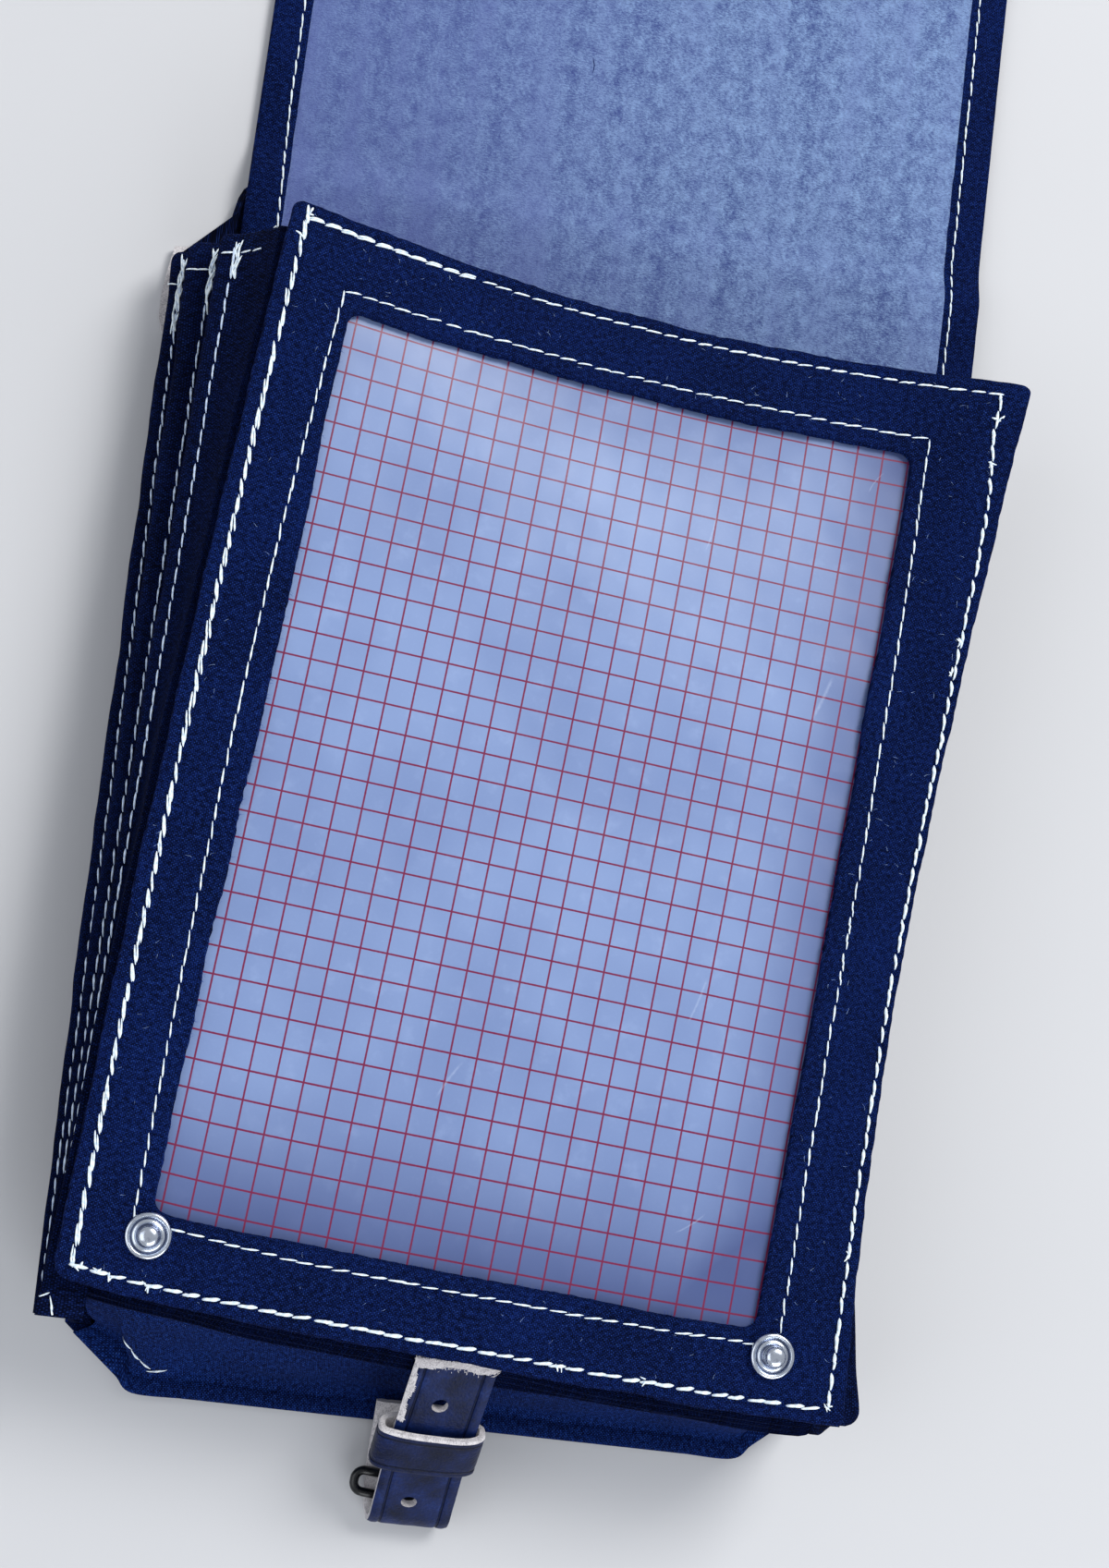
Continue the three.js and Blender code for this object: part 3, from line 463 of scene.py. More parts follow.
# %% The printed grid and the scuffs on it
GRID_PITCH, GRID_U, GRID_V = 7.0, 4.1, 2.2
LINE_HALF = 0.27
scuffs = [
    {"u": 24.5, "v": 82.0, "lean": 1.45, "long": 6.0, "wide": 0.3, "bow": 0.01},
    {"u": 66.0, "v": 107.0, "lean": 1.1, "long": 4.0, "wide": 0.25, "bow": -0.03},
    {"u": 62.0, "v": 44.0, "lean": 1.3, "long": 7.0, "wide": 0.7, "bow": 0.004},
    {"u": 44.0, "v": -42.0, "lean": 1.35, "long": 7.0, "wide": 0.45, "bow": 0.006},
    {"u": -16.0, "v": -74.0, "lean": 1.1, "long": 6.0, "wide": 0.5, "bow": -0.01},
    {"u": 53.0, "v": -97.0, "lean": 0.7, "long": 5.0, "wide": 0.3, "bow": 0.02},
]


def from_grid_line(way, first):
    """Millimetres to the nearest printed line across the given way."""
    return (((way - first) / GRID_PITCH + 0.5).part() - 0.5).size() * GRID_PITCH


def scuff_mark(scuff, u, v, mist):
    """1 along a short bowed scratch, 0 away from it."""
    c, s = np.cos(scuff["lean"]), np.sin(scuff["lean"])
    du, dv = u - scuff["u"], v - scuff["v"]
    run, off = du * c + dv * s, dv * c - du * s
    bent = off - run * run * scuff["bow"] + (mist - 0.5) * 0.6
    mark = bent.size().step(0.0, scuff["wide"], 1.0, 0.0)
    return mark * run.size().step(scuff["long"] * 0.5, scuff["long"], 1.0, 0.0)


def window_shade(u, v):
    """Where the sheet sinks into shade: near its foot, its right side and its mouth."""
    low = v.step(-122.0, -70.0, 1.0, 0.0)
    aside = u.step(48.0, 76.0) * 0.7
    high = v.step(84.0, 124.0) * 0.4
    return (low ** 1.5 + aside + high).least(1.0)


# %% Window finish
def window_finish():
    film = Finish("printed_film", Roughness=0.4, Specular_IOR_Level=0.3, Coat_Weight=0.12)
    film.shader.inputs["Coat Roughness"].default_value = 0.2
    u, v = film.cloth()
    ink = film.noise(film.at(u, v), 1.4, 2.0) * 0.12
    nearest = from_grid_line(u, GRID_U).least(from_grid_line(v, GRID_V))
    printed = (nearest + ink).step(LINE_HALF - 0.04, LINE_HALF + 0.1, 1.0, 0.0)
    cloud = film.noise(film.at(u, v), 0.02, 3.0, 0.5)
    blotch = film.noise(film.at(u, v), 0.12, 4.0, 0.6)
    mist = film.noise(film.at(u, v), 1.1, 5.0, 0.7)
    milk = film.blend(cloud.step(0.3, 0.7), dye(112, 132, 176), dye(126, 147, 190))
    cloudy = blotch.step(0.52, 0.8) * 0.3 + mist.step(0.5, 0.9) * 0.2
    milk = film.blend(cloudy, milk, dye(150, 170, 210))
    shade = window_shade(u, v) * (0.7 + cloud * 0.5)
    milk = film.blend(shade, milk, dye(70, 84, 130))
    colour = film.blend(printed, milk, dye(112, 26, 66))
    for scuff in scuffs:
        mark = scuff_mark(scuff, u, v, mist) * (mist * 0.34)
        colour = film.blend(mark, colour, dye(206, 216, 240))
    wave = film.noise(film.at(u, v), 0.03, 2.0)
    rough = blotch * 0.25 + 0.25
    return film.paint(Base_Color=colour, Roughness=rough, Normal=film.bump(wave, 1.2))


printed_film = window_finish()
print("window grid", GRID_PITCH, "mm square,", len(scuffs), "scuffs")


# %% Lining finish
def lining_finish():
    nap = Finish("brushed_lining", Roughness=1.0, Specular_IOR_Level=0.05, Sheen_Weight=0.25)
    nap.shader.inputs["Sheen Roughness"].default_value = 0.4
    nap.shader.inputs["Sheen Tint"].default_value = dye(190, 210, 240)
    u, v = nap.cloth()
    blots = nap.noise(nap.at(u * 1.2, v), 0.2, 6.0, 0.8)
    fibre = nap.noise(nap.at(u * 0.8 + v * 0.4, v * 2.2), 1.2, 4.0, 0.8)
    streak = nap.noise(nap.at(u, v * 0.06), 0.09, 3.0, 0.6)
    band = u.step(-96.0, 50.0, 0.45, 0.0) + v.step(300.0, 360.0, 0.15, 0.0)
    tone = 0.5 + (blots - 0.5) * 1.5 + (fibre - 0.5) * 2.0 + (streak - 0.5) * 0.8
    base = nap.blend(tone.step(0.05, 0.95), dye(64, 80, 142), dye(150, 180, 224))
    colour = nap.blend(streak.step(0.42, 0.7) * 0.3 + band, base, dye(88, 98, 164))
    return nap.paint(Base_Color=colour, Normal=nap.bump(fibre + blots, 0.6))


# %% Leather finishes
def leather_finish(name, dark, mid, light, rough, crease):
    """crease gives, at each place, the distance to a line pressed into the grain."""
    hide = Finish(name, Roughness=rough, Specular_IOR_Level=0.13)
    u, v = hide.cloth()
    inputs = {"Vector": hide.at(u, v), "Scale": 1.7}
    pore = hide.node("ShaderNodeTexVoronoi", {"feature": "SMOOTH_F1"}, inputs)
    grain = hide.noise(hide.at(u, v), 1.1, 5.0, 0.65)
    cloud = hide.noise(hide.at(u, v), 0.12, 3.0)
    tone = cloud * 0.8 + grain * 0.35
    body = hide.blend(tone.step(0.35, 0.8), dark, mid)
    colour = hide.blend((grain * cloud).step(0.3, 0.5) * 0.4, body, light)
    pressed = crease(u, v).size().step(0.1, 0.4, 1.0, 0.0)
    colour = hide.blend(pressed * 0.75, colour, dark)
    rough_field = grain * 0.3 + (rough - 0.15)
    normal = hide.bump(pore * 0.7 + grain - pressed * 3.0, 0.14)
    return hide.paint(Base_Color=colour, Roughness=rough_field, Normal=normal)


def flesh_finish():
    flesh = Finish("raw_leather", Roughness=0.95, Specular_IOR_Level=0.15, Sheen_Weight=0.3)
    u, v = flesh.cloth()
    fibre = flesh.noise(flesh.at(u * 1.0, v * 2.2), 1.6, 6.0, 0.75)
    cloud = flesh.noise(flesh.at(u, v), 0.5, 4.0, 0.6)
    tone = (fibre * 0.9 + cloud * 0.4).step(0.38, 0.78)
    colour = flesh.blend(tone, dye(116, 112, 122), dye(246, 242, 244))
    return flesh.paint(Base_Color=colour, Normal=flesh.bump(fibre, 0.5))


# %% Metal finish
def metal_finish(name, colour, worn, rough, metallic, shaded_rings=()):
    """The last argument lists rings of painted shade and dark reflection, as (radius, spread)."""
    metal = Finish(name, Metallic=metallic, Roughness=rough)
    u, v = metal.cloth()
    tarnish = metal.noise(metal.at(u, v), 0.5, 3.0, 0.6)
    body = metal.blend(tarnish.step(0.5, 0.75) * 0.4, colour, worn)
    from_middle = (u * u + v * v) ** 0.5
    for radius, spread in shaded_rings:
        # Painted shade and dark reflection: each ring darkens the steel towards the worn colour.
        ring = (from_middle - radius).size().step(spread * 0.3, spread, 1.0, 0.0)
        body = metal.blend(ring * 0.85, body, worn)
    return metal.paint(Base_Color=body, Roughness=tarnish * 0.15 + rough)


# %% All the small finishes
lining_nap = lining_finish()
STRAP_CREASE, KEEPER_CREASE, KEEPER_MIDDLE = 7.6, 4.9, 7.0
grain_leather = leather_finish(
    "strap_leather", dye(5, 12, 36), dye(17, 36, 88), dye(46, 76, 142), 0.38,
    lambda u, v: v.size() - STRAP_CREASE)
keeper_leather = leather_finish(
    "keeper_leather", dye(4, 10, 30), dye(14, 29, 74), dye(38, 62, 122), 0.36,
    lambda u, v: (u - KEEPER_MIDDLE).size() - KEEPER_CREASE)
raw_leather = flesh_finish()
# Rings of painted shade and dark reflection: inside the rolled rim and round the foot of the post.
stud_shade_rings = [(4.3, 0.4), (2.85, 0.35)]
bright_steel = metal_finish(
    "bright_steel", dye(214, 222, 234), dye(48, 62, 104), 0.14, 1.0, stud_shade_rings)
black_wire = metal_finish("black_wire", dye(4, 7, 12), dye(20, 28, 42), 0.2, 0.0)
backing_cloth = canvas_finish(
    "pale_backing", dye(84, 92, 134), dye(124, 134, 178), dye(160, 168, 206))
print("finishes", len(bpy.data.materials))

# %% [markdown]
# ## The window panel
#
# The front of the case is a broad canvas frame round the window, turned a little on the body.
# Nothing stiffens it: the mouth sinks between its corners, the right border is drawn in, and
# the foot sags. These are the same sizes as the solid model's, so the cloth lies in its place.

# %% Panel sizes and how it hangs
FRAME_WALL = 2.0
CANVAS_WALL = 1.5
FILM_WALL = 0.8
LINING_WALL = 0.9
LEATHER_WALL = 2.2
HEM_WALL = 1.2
SEAM_GAP = 0.3
MAP_GAP = 0.6
CASE_DEPTH = 52.0
FRONT_HALF = 102.5
FRONT_REACH = 141.0
FRONT_CENTRE = 164.3
FRONT_SHIFT = -3.0
FRONT_TURN = np.radians(4.2)
FRONT_CORNER = 2.4
WINDOW_LEFT, WINDOW_RIGHT = -82.0, 74.0
WINDOW_FOOT, WINDOW_TOP = -119.5, 116.5
BORDER_RIGHT = FRONT_HALF - WINDOW_RIGHT
MOUTH_DIP, MOUTH_PULL, FOOT_SAG = 14.0, 2.5, 2.6
SIDE_DRAW, CORNER_CURL = 7.0, 4.0
LEFT_BOW = 1.8
draw_along = [-1, -0.9, -0.6, -0.3, 0, 0.5, 0.9, 1]
draw_share = [0.22, 0.45, 0.78, 1, 0.97, 0.55, 0.14, 0]
curls = [(-1, 1, 0.5), (1, 1, 0.7), (1, -1, 0.9)]


def front_plan(u, v):
    x = FRONT_SHIFT + u * np.cos(FRONT_TURN) + v * np.sin(FRONT_TURN)
    y = FRONT_CENTRE - u * np.sin(FRONT_TURN) + v * np.cos(FRONT_TURN)
    return x, y


def mouth_slack(across, along):
    near = np.clip((along - 0.25) / 0.75, 0, 1)
    return np.clip(1 - across * across, 0, 1) ** 1.2 * near ** 1.9


def foot_slack(across, along):
    near = smooth(-along, 0.35, 0.85)
    return (1 - across ** 4) * (1 - 0.2 * across) * near


def draw_at(along):
    softened = [np.interp(along + d, draw_along, draw_share) for d in (-0.08, 0, 0.08)]
    return SIDE_DRAW * (softened[0] + 2 * softened[1] + softened[2]) / 4


def front_height(across, along):
    height = CASE_DEPTH - MOUTH_DIP * mouth_slack(across, along)
    for side, end, share in curls:
        lift = np.clip(across * side, 0, 1) * np.clip(along * end, 0, 1)
        height = height + CORNER_CURL * share * lift ** 3
    return height


def front_point(u, v, below):
    u, v = np.broadcast_arrays(np.asarray(u, float), np.asarray(v, float))
    across = np.clip(u / FRONT_HALF, -1, 1)
    along = np.clip(v / FRONT_REACH, -1, 1)
    in_right = np.clip((u - WINDOW_RIGHT) / BORDER_RIGHT, 0, 1)
    in_left = np.clip((WINDOW_LEFT - u) / 20, 0, 1) ** 0.5
    moved = u - draw_at(along) * in_right - LEFT_BOW * (1 - along ** 2) * in_left
    pull = MOUTH_PULL * mouth_slack(across, along) + FOOT_SAG * foot_slack(across, along)
    x, y = front_plan(moved, v - pull)
    return np.stack([x, y, front_height(across, along) - below], axis=-1)


# %% Where the two rows of stitches run, and how they pull the canvas down
OUTER_SIDE_LEFT, OUTER_END = -98.4, 137.2
INNER_TOP, INNER_FOOT = 121.5, -124.2


def outer_right(v):
    return 97.7 + 2.3 * (1 - (v / FRONT_REACH) ** 2) - 2.6 * smooth(v, 98, 130)


def inner_foot(u):
    return np.interp(u, [-86, -40, 30, 82], [-122.3, -124, -124, -123.2])


def inner_left(v):
    return np.interp(v, [-125, -60, 0, 60, 121], [-85.9, -86.9, -87.4, -86.7, -84.6])


def inner_right(v):
    return np.interp(v, [-124, 0, 121], [81.5, 81.5, 78.4])


STITCH_PITCH = 4.7
OUTER_PULL, INNER_PULL, SEAM_SPREAD = 0.75, 0.5, 1.5


def seam_pull(u, v):
    """How far the cloth is drawn down by the thread at a place on the panel."""
    left, right = u - OUTER_SIDE_LEFT, u - outer_right(v)
    outer = [(left, v), (right, v), (v - OUTER_END, u), (v + OUTER_END, u)]
    in_left, in_right = u - inner_left(v), u - inner_right(v)
    inner = [(in_left, v), (in_right, v), (v - INNER_TOP, u), (v - inner_foot(u), u)]
    inside = (np.abs(v) < OUTER_END + 1) & (left > -1) & (right < 1)
    near = (v < INNER_TOP + 1) & (v > INNER_FOOT - 1) & (in_left > -1) & (in_right < 1)
    pull = 0 * u
    for rows, mask, depth in ((outer, inside, OUTER_PULL), (inner, near, INNER_PULL)):
        for away, run in rows:
            dent = 0.75 + 0.25 * np.cos(2 * np.pi * run / STITCH_PITCH)
            pull = np.maximum(pull, depth * dent * np.exp(-((away / SEAM_SPREAD) ** 2)) * mask)
    return pull


def panel_relief(u, v):
    soft = 0.35 * ripple(u, v, 34, 5) + 0.12 * ripple(u, v, 9, 6)
    return seam_pull(u, v) - soft


# %% A ring of points round a rectangle
CORNER_TURNS = 7


def round_box(left, right, foot, top, corner, steps):
    """Points round a rectangle with round corners: steps down each side, then each corner."""
    ends = [(right, foot), (right, top), (left, top), (left, foot)]
    signs = [(1, -1), (1, 1), (-1, 1), (-1, -1)]
    middles = [np.array(end) - np.array(sign) * corner for end, sign in zip(ends, signs)]
    ring = []
    for k, middle in enumerate(middles):
        angle = (k - 1 + np.arange(CORNER_TURNS + 1) / CORNER_TURNS) * np.pi / 2
        bend = middle + corner * stacked(np.cos(angle), np.sin(angle))
        start = bend[-1] + middles[(k + 1) % 4] - middle
        share = np.arange(1, steps[k])[:, None] / steps[k]
        ring += [bend, lerp(bend[-1], start, share)]
    return np.concatenate(ring)


def wander(points, waves):
    """How far an uneven edge strays at each point; waves lists (height, reach, seed)."""
    return sum(height * ripple(*points.T, reach, seed) for height, reach, seed in waves)[:, None]


# %% The canvas frame
WINDOW_CORNER = 3.5
ring_steps = [230, 160, 230, 160]
window_ring = round_box(
    WINDOW_LEFT, WINDOW_RIGHT, WINDOW_FOOT, WINDOW_TOP, WINDOW_CORNER, ring_steps)
panel_ring = round_box(
    -FRONT_HALF, FRONT_HALF, -FRONT_REACH, FRONT_REACH, FRONT_CORNER, ring_steps)
fray = wander(window_ring, [(0.14, 3, 11), (0.5, 45, 12)])
window_ring += fray * unit(window_ring - window_ring.mean(axis=0))
worn = wander(panel_ring, [(0.22, 5, 13), (0.3, 24, 14)])
panel_ring += worn * unit(panel_ring / [FRONT_HALF, FRONT_REACH])
bands = [np.linspace(0, 0.34, 10), np.linspace(0.4, 0.66, 5), np.linspace(0.7, 1, 11)]
bands = np.concatenate(bands)
uv = lerp(window_ring[:, None], panel_ring[:, None], bands[None, :, None])
u, v = uv[..., 0], uv[..., 1]
frame_top = front_point(u, v, panel_relief(u, v))
window_frame = sheet("canvas_window_frame", frame_top, FRAME_WALL, uv, [navy], ring=True)
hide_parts("window_frame")

# %% The printed film and the cloth behind it
FILM_LAP, FILM_PLAY, BACKING_INSET = 8.0, 0.15, 1
FILM_TOP = FRAME_WALL + SEAM_GAP
BACKING_TOP = FILM_TOP + FILM_WALL + MAP_GAP


def panel_grid(left, right, foot, top, across, along):
    u, v = np.linspace(left, right, across), np.linspace(foot, top, along)
    return np.meshgrid(u, v, indexing="ij")


u, v = panel_grid(
    WINDOW_LEFT - FILM_LAP, WINDOW_RIGHT + FILM_LAP,
    WINDOW_FOOT - FILM_LAP, WINDOW_TOP + FILM_LAP, 70, 100)
film_points = front_point(u, v, FILM_TOP + FILM_PLAY - 0.12 * ripple(u, v, 60, 21))
film_sheet = sheet(
    "printed_window_film", film_points, FILM_WALL, stacked(u, v), [printed_film])
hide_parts("map_window")

half, reach = FRONT_HALF - BACKING_INSET, FRONT_REACH - BACKING_INSET
u, v = panel_grid(-half, half, -reach, reach, 60, 80)
backing_points = front_point(u, v, BACKING_TOP + 0.1)
backing = sheet(
    "pale_cloth_backing", backing_points, CANVAS_WALL, stacked(u, v), [backing_cloth])
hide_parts("front_backing")

# %% [markdown]
# ## Gussets and pockets
#
# The sides are one long strip of canvas folded in pleats, and each fold is stitched, so it
# stands out as a ridge. The pocket walls hang from the ridges inside. A section of the strip
# is worked out at many places from foot to mouth, and its corners are rounded.

# %% Sizes of the sides
FOOT_MARGIN, MOUTH_MARGIN = 23.3, 24.7
BACK_LENGTH = FOOT_MARGIN + 2 * FRONT_REACH + MOUTH_MARGIN
FOOT_WIDTH = 203.0
FOOT_SHIFT, MOUTH_SHIFT = -9.2, -2.25
FLAP_HALF = 107.25
BACK_WALL = 2.0
BACK_TOP = BACK_WALL + SEAM_GAP
PACK_STEP = CANVAS_WALL + SEAM_GAP
FRONT_STACK = BACKING_TOP + CANVAS_WALL
RIDGE_REACH, RIDGE_ROOT, RIDGE_TIP = 17.0, 2.6, 1.7
VALLEY_DEPTH, WALL_BOW = 5.0, 1.6
GUSSET_FOLD, GUSSET_FLANGE = 2.2, 7.0
CHAMFER_ACROSS, CHAMFER_ALONG = 20.0, 16.4
EAR_RISE = 26.0


def corner_y(side, end):
    return front_plan(side * FRONT_HALF, end * FRONT_REACH)[1]


# %% What differs between the two sides
LEFT_MOUTH = corner_y(-1, 1) - 6
RIGHT_MOUTH = corner_y(1, 1) - 1.5
ridge_columns = ("level", "out_mouth", "out_mid", "out_foot", "seam_mouth", "seam_foot")


def ridge_table(*rows):
    """Ridges from rear to front: level as a share of the depth, the rest of RIDGE_REACH."""
    return [dict(zip(ridge_columns, row)) for row in rows]


LEFT = {
    "sign": -1, "mouth_edge": FLAP_HALF - MOUTH_SHIFT, "foot_edge": FOOT_WIDTH / 2 - FOOT_SHIFT,
    "mouth_y": LEFT_MOUTH, "rear_y": LEFT_MOUTH + EAR_RISE, "foot_y": corner_y(-1, -1) - 10.5,
    "lap": 2.2, "drawn": 0.0, "lobe": 0.0, "wall": [(0.34, 1, 0.88), (0.7, 0.6, 1)],
    "sewn_from": [0.02, 0.12, 0.12], "sewn_aside": 0.9, "reach": 6.0,
    "ridges": ridge_table(
        (0.23, 0.9, 0.04, 0.49, 0.64, 0.36),
        (0.44, 0.66, 0.0, 0.42, 0.18, 0.33),
        (0.65, 0.19, 0.0, 0.39, -0.14, 0.3)),
}
RIGHT = {
    "sign": 1, "mouth_edge": FLAP_HALF + MOUTH_SHIFT, "foot_edge": FOOT_WIDTH / 2 + FOOT_SHIFT,
    "mouth_y": RIGHT_MOUTH, "rear_y": RIGHT_MOUTH + 3.5, "foot_y": corner_y(1, -1) - 0.5,
    "lap": 1.2, "drawn": 4.0, "lobe": 4.6,
    "wall": [(0.34, 1, 0.88), (0.7, 0.6, 0.999), (0.95, 0.05, 0.999)],
    "sewn_from": [0.1, 0.12, 0.14], "sewn_aside": 0.6, "reach": 0.0,
    "ridges": ridge_table(
        (0.23, 0.74, -0.1, -0.12, 0.36, -0.25),
        (0.44, 0.6, -0.1, -0.14, 0.2, -0.27),
        (0.65, 0.46, -0.1, -0.16, 0.05, -0.29)),
}
SIDES = {"left": LEFT, "right": RIGHT}


def back_edge(side, y):
    return lerp(side["foot_edge"], side["mouth_edge"], np.clip(y / BACK_LENGTH, 0, 1))


def ridge_at(side, index, share):
    """One ridge at a share of the way from foot to mouth: its height, reaches and halves."""
    row = side["ridges"][index]
    foot_z = CASE_DEPTH - FRONT_STACK - SEAM_GAP - (3.5 - index) * PACK_STEP
    drawn = side["drawn"] * smooth(share, 0.06, 0.17) * (1 - smooth(share, 0.6, 0.95))
    before = np.clip(1 - share / 0.016, 0, 1)
    lobe = side["lobe"] * np.exp(-((share / 0.05) ** 2)) * np.sqrt(1 - 0.96 * before * before)
    past = np.clip((share - 0.988) / 0.012, 0, 1)
    turned_in = 1 - np.sqrt(1 - past * past)
    out = lerp(row["out_foot"], row["out_mouth"], share) + row["out_mid"] * np.sin(np.pi * share)
    seam_foot, seam_mouth = RIDGE_REACH * row["seam_foot"], RIDGE_REACH * row["seam_mouth"]
    return {
        "z": lerp(foot_z, CASE_DEPTH * row["level"], share),
        "out": RIDGE_REACH * out - 2.8 * turned_in - drawn + lobe,
        "seam": lerp(seam_foot, seam_mouth, share) - drawn,
        "inside": lerp(seam_foot - RIDGE_REACH * 0.26, seam_mouth - 1, share) - drawn,
        "root": lerp(PACK_STEP * 0.42, RIDGE_ROOT, share) - 0.9 * turned_in,
        "tip": lerp(PACK_STEP * 0.32, RIDGE_TIP, share) - 0.8 * turned_in,
        "slot": lerp(PACK_STEP * 0.47, CANVAS_WALL / 2 + SEAM_GAP, share),
    }


def ridge_line(side, index, shares, aside):
    """Points on the top of a ridge, aside from its seam."""
    rows = []
    for share in shares:
        ridge = ridge_at(side, index, share)
        y = lerp(side["foot_y"], side["mouth_y"], share)
        x = side["sign"] * (back_edge(side, y) + ridge["seam"] + aside)
        rows.append((x, y, ridge["z"] + ridge["root"]))
    return rows


def panel_reach(side, y):
    v = (y - FRONT_CENTRE + side["sign"] * FRONT_HALF * np.sin(FRONT_TURN)) / np.cos(FRONT_TURN)
    along = np.clip(v / FRONT_REACH, -1, 1)
    drawn = draw_at(along) if side["sign"] > 0 else -LEFT_BOW * (1 - along ** 2)
    x = front_plan(side["sign"] * (FRONT_HALF - drawn), v)[0]
    return side["sign"] * x - back_edge(side, y)


def under_front(x, y):
    dx, dy = x - FRONT_SHIFT, y - FRONT_CENTRE
    u = dx * np.cos(FRONT_TURN) - dy * np.sin(FRONT_TURN)
    v = dx * np.sin(FRONT_TURN) + dy * np.cos(FRONT_TURN)
    across = np.clip(u / FRONT_HALF, -1, 1)
    return front_height(across, np.clip(v / FRONT_REACH, -1, 1)) - FRONT_STACK - SEAM_GAP


# %% One section of a side gusset, from its rim up to the window panel
FOOT_TUCK = 3.0


def gusset_section(side, share):
    """Rows of reach outside the back edge, height, and zone: 1 where it ends with the ridges."""
    y = lerp(side["foot_y"], side["mouth_y"], share)
    ridges = [ridge_at(side, i, share) for i in range(3)]
    first, last = ridges[0], ridges[2]
    edge = panel_reach(side, y) + side["lap"]
    tip = min(edge, last["inside"]) - GUSSET_FLANGE * 0.7
    top_z = under_front(side["sign"] * (back_edge(side, y) + tip), y)
    outer = [(-GUSSET_FLANGE, BACK_TOP, 0), (-0.5, BACK_TOP, 0)]
    inner = [(-GUSSET_FLANGE, BACK_TOP + CANVAS_WALL, 0), (-2, BACK_TOP + CANVAS_WALL, 0)]
    for part, bow, zone in side["wall"]:
        a = lerp(-0.5, first["seam"], part) + bow * lerp(WALL_BOW * 0.75, -WALL_BOW, share)
        a = a - FOOT_TUCK * (1 - smooth(share, 0, 0.05))
        z = lerp(BACK_TOP, first["z"] - first["root"], part)
        outer.append((a, z, zone))
        inner.append((a - GUSSET_FOLD, z + 1.2 * share, zone))
    for i, ridge in enumerate(ridges):
        shoulder = ridge["out"] - (ridge["out"] - ridge["seam"]) * 0.2
        z, root, thin = ridge["z"], ridge["root"], ridge["tip"]
        outer += [(ridge["seam"], z - root, 1), (shoulder, z - thin, 1), (ridge["out"], z, 1)]
        outer += [(shoulder, z + thin, 1), (ridge["seam"], z + root, 1)]
        inner += [(ridge["inside"], z - ridge["slot"], 1), (ridge["inside"], z + ridge["slot"], 1)]
        if i < 2:
            after = ridges[i + 1]
            valley = min(ridge["seam"], after["seam"]) - lerp(SEAM_GAP, VALLEY_DEPTH, share)
            inside = min(valley - 1.8, ridge["inside"] - 0.1, after["inside"] - 0.1)
            middle = (z + after["z"]) / 2
            outer.append((valley, middle, 1))
            inner.append((inside, middle, 1))
    slope_a = (last["seam"] + edge) / 2
    slope_z = (last["z"] + last["root"] + top_z - CANVAS_WALL) / 2
    outer += [(slope_a - 0.6 * share, slope_z, 1), (edge, top_z - CANVAS_WALL * 0.7, 1)]
    outer += [(edge - 0.5, top_z, 1), (tip, top_z, 1)]
    inner.append((min(slope_a, last["inside"]) - 0.1 - 1.8 * share, slope_z, 1))
    fold = min(edge - GUSSET_FOLD, last["inside"] - 0.3)
    inner += [(fold, top_z - CANVAS_WALL, 1), (tip, top_z - CANVAS_WALL, 1)]
    return outer + inner[::-1]


def foot_line(side):
    return corner_y(side["sign"], -1) - 3 * PACK_STEP + SEAM_GAP


def gusset_y(side, z, zone, share):
    up = (z - BACK_TOP) / (ridge_at(side, 0, 0)["z"] - BACK_TOP)
    wall_foot = lerp(CHAMFER_ALONG, foot_line(side), np.clip(up, 0, 1))
    foot = side["foot_y"] if zone == 1 else wall_foot
    return lerp(foot, lerp(side["rear_y"], side["mouth_y"], zone), share)


def side_sections(side, shares):
    rows = []
    for share in shares:
        row = []
        for a, z, zone in gusset_section(side, share):
            y = gusset_y(side, z, zone, share)
            row.append((side["sign"] * (back_edge(side, y) + a), y, z))
        rows.append(row)
    return np.array(rows)


# %% Both side gussets
def crumple(sections, seed, depth):
    """Small hollows in the cloth, none at the foot seam."""
    y, z = sections[..., 1], sections[..., 2]
    push = ripple(y, z * 2.2, 46, seed) * depth + ripple(y, z * 3, 15, seed + 1) * depth * 0.4
    moved = sections.copy()
    moved[..., 0] += push * smooth(y, 20, 60)
    return moved


def dense_ends(places, counts):
    """Steps through four places, as many in each of the three parts as counts says."""
    parts = [np.linspace(a, b, n) for a, b, n in zip(places, places[1:], counts)]
    return np.concatenate([parts[0][:-1], parts[1], parts[2][1:]])


side_shares = dense_ends([0, 0.04, 0.96, 1], [20, 130, 24])
side_pieces = {}
for label, side in SIDES.items():
    sections = rounded(side_sections(side, side_shares), 2)
    sections = crumple(sections, 31 + side["sign"], 0.35)
    # The gusset takes the darker canvas copy, whose colour is painted shade.
    made = tube("pleated_gusset_" + label, sections, [shaded_pocket_navy])
    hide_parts("side_gusset_" + label)
    side_pieces[label] = made

# %% The three pocket walls
pocket_dips = [0, 0.2, 0.5]
pocket_sags = [1.0, 1.15, 1.1]
POCKET_CUT = (205, 285)
POCKET_TURN, POCKET_ROUND = 0.014, 4


def ridge_share(side, y):
    return np.clip((y - side["foot_y"]) / (side["mouth_y"] - side["foot_y"]), 0, 1)


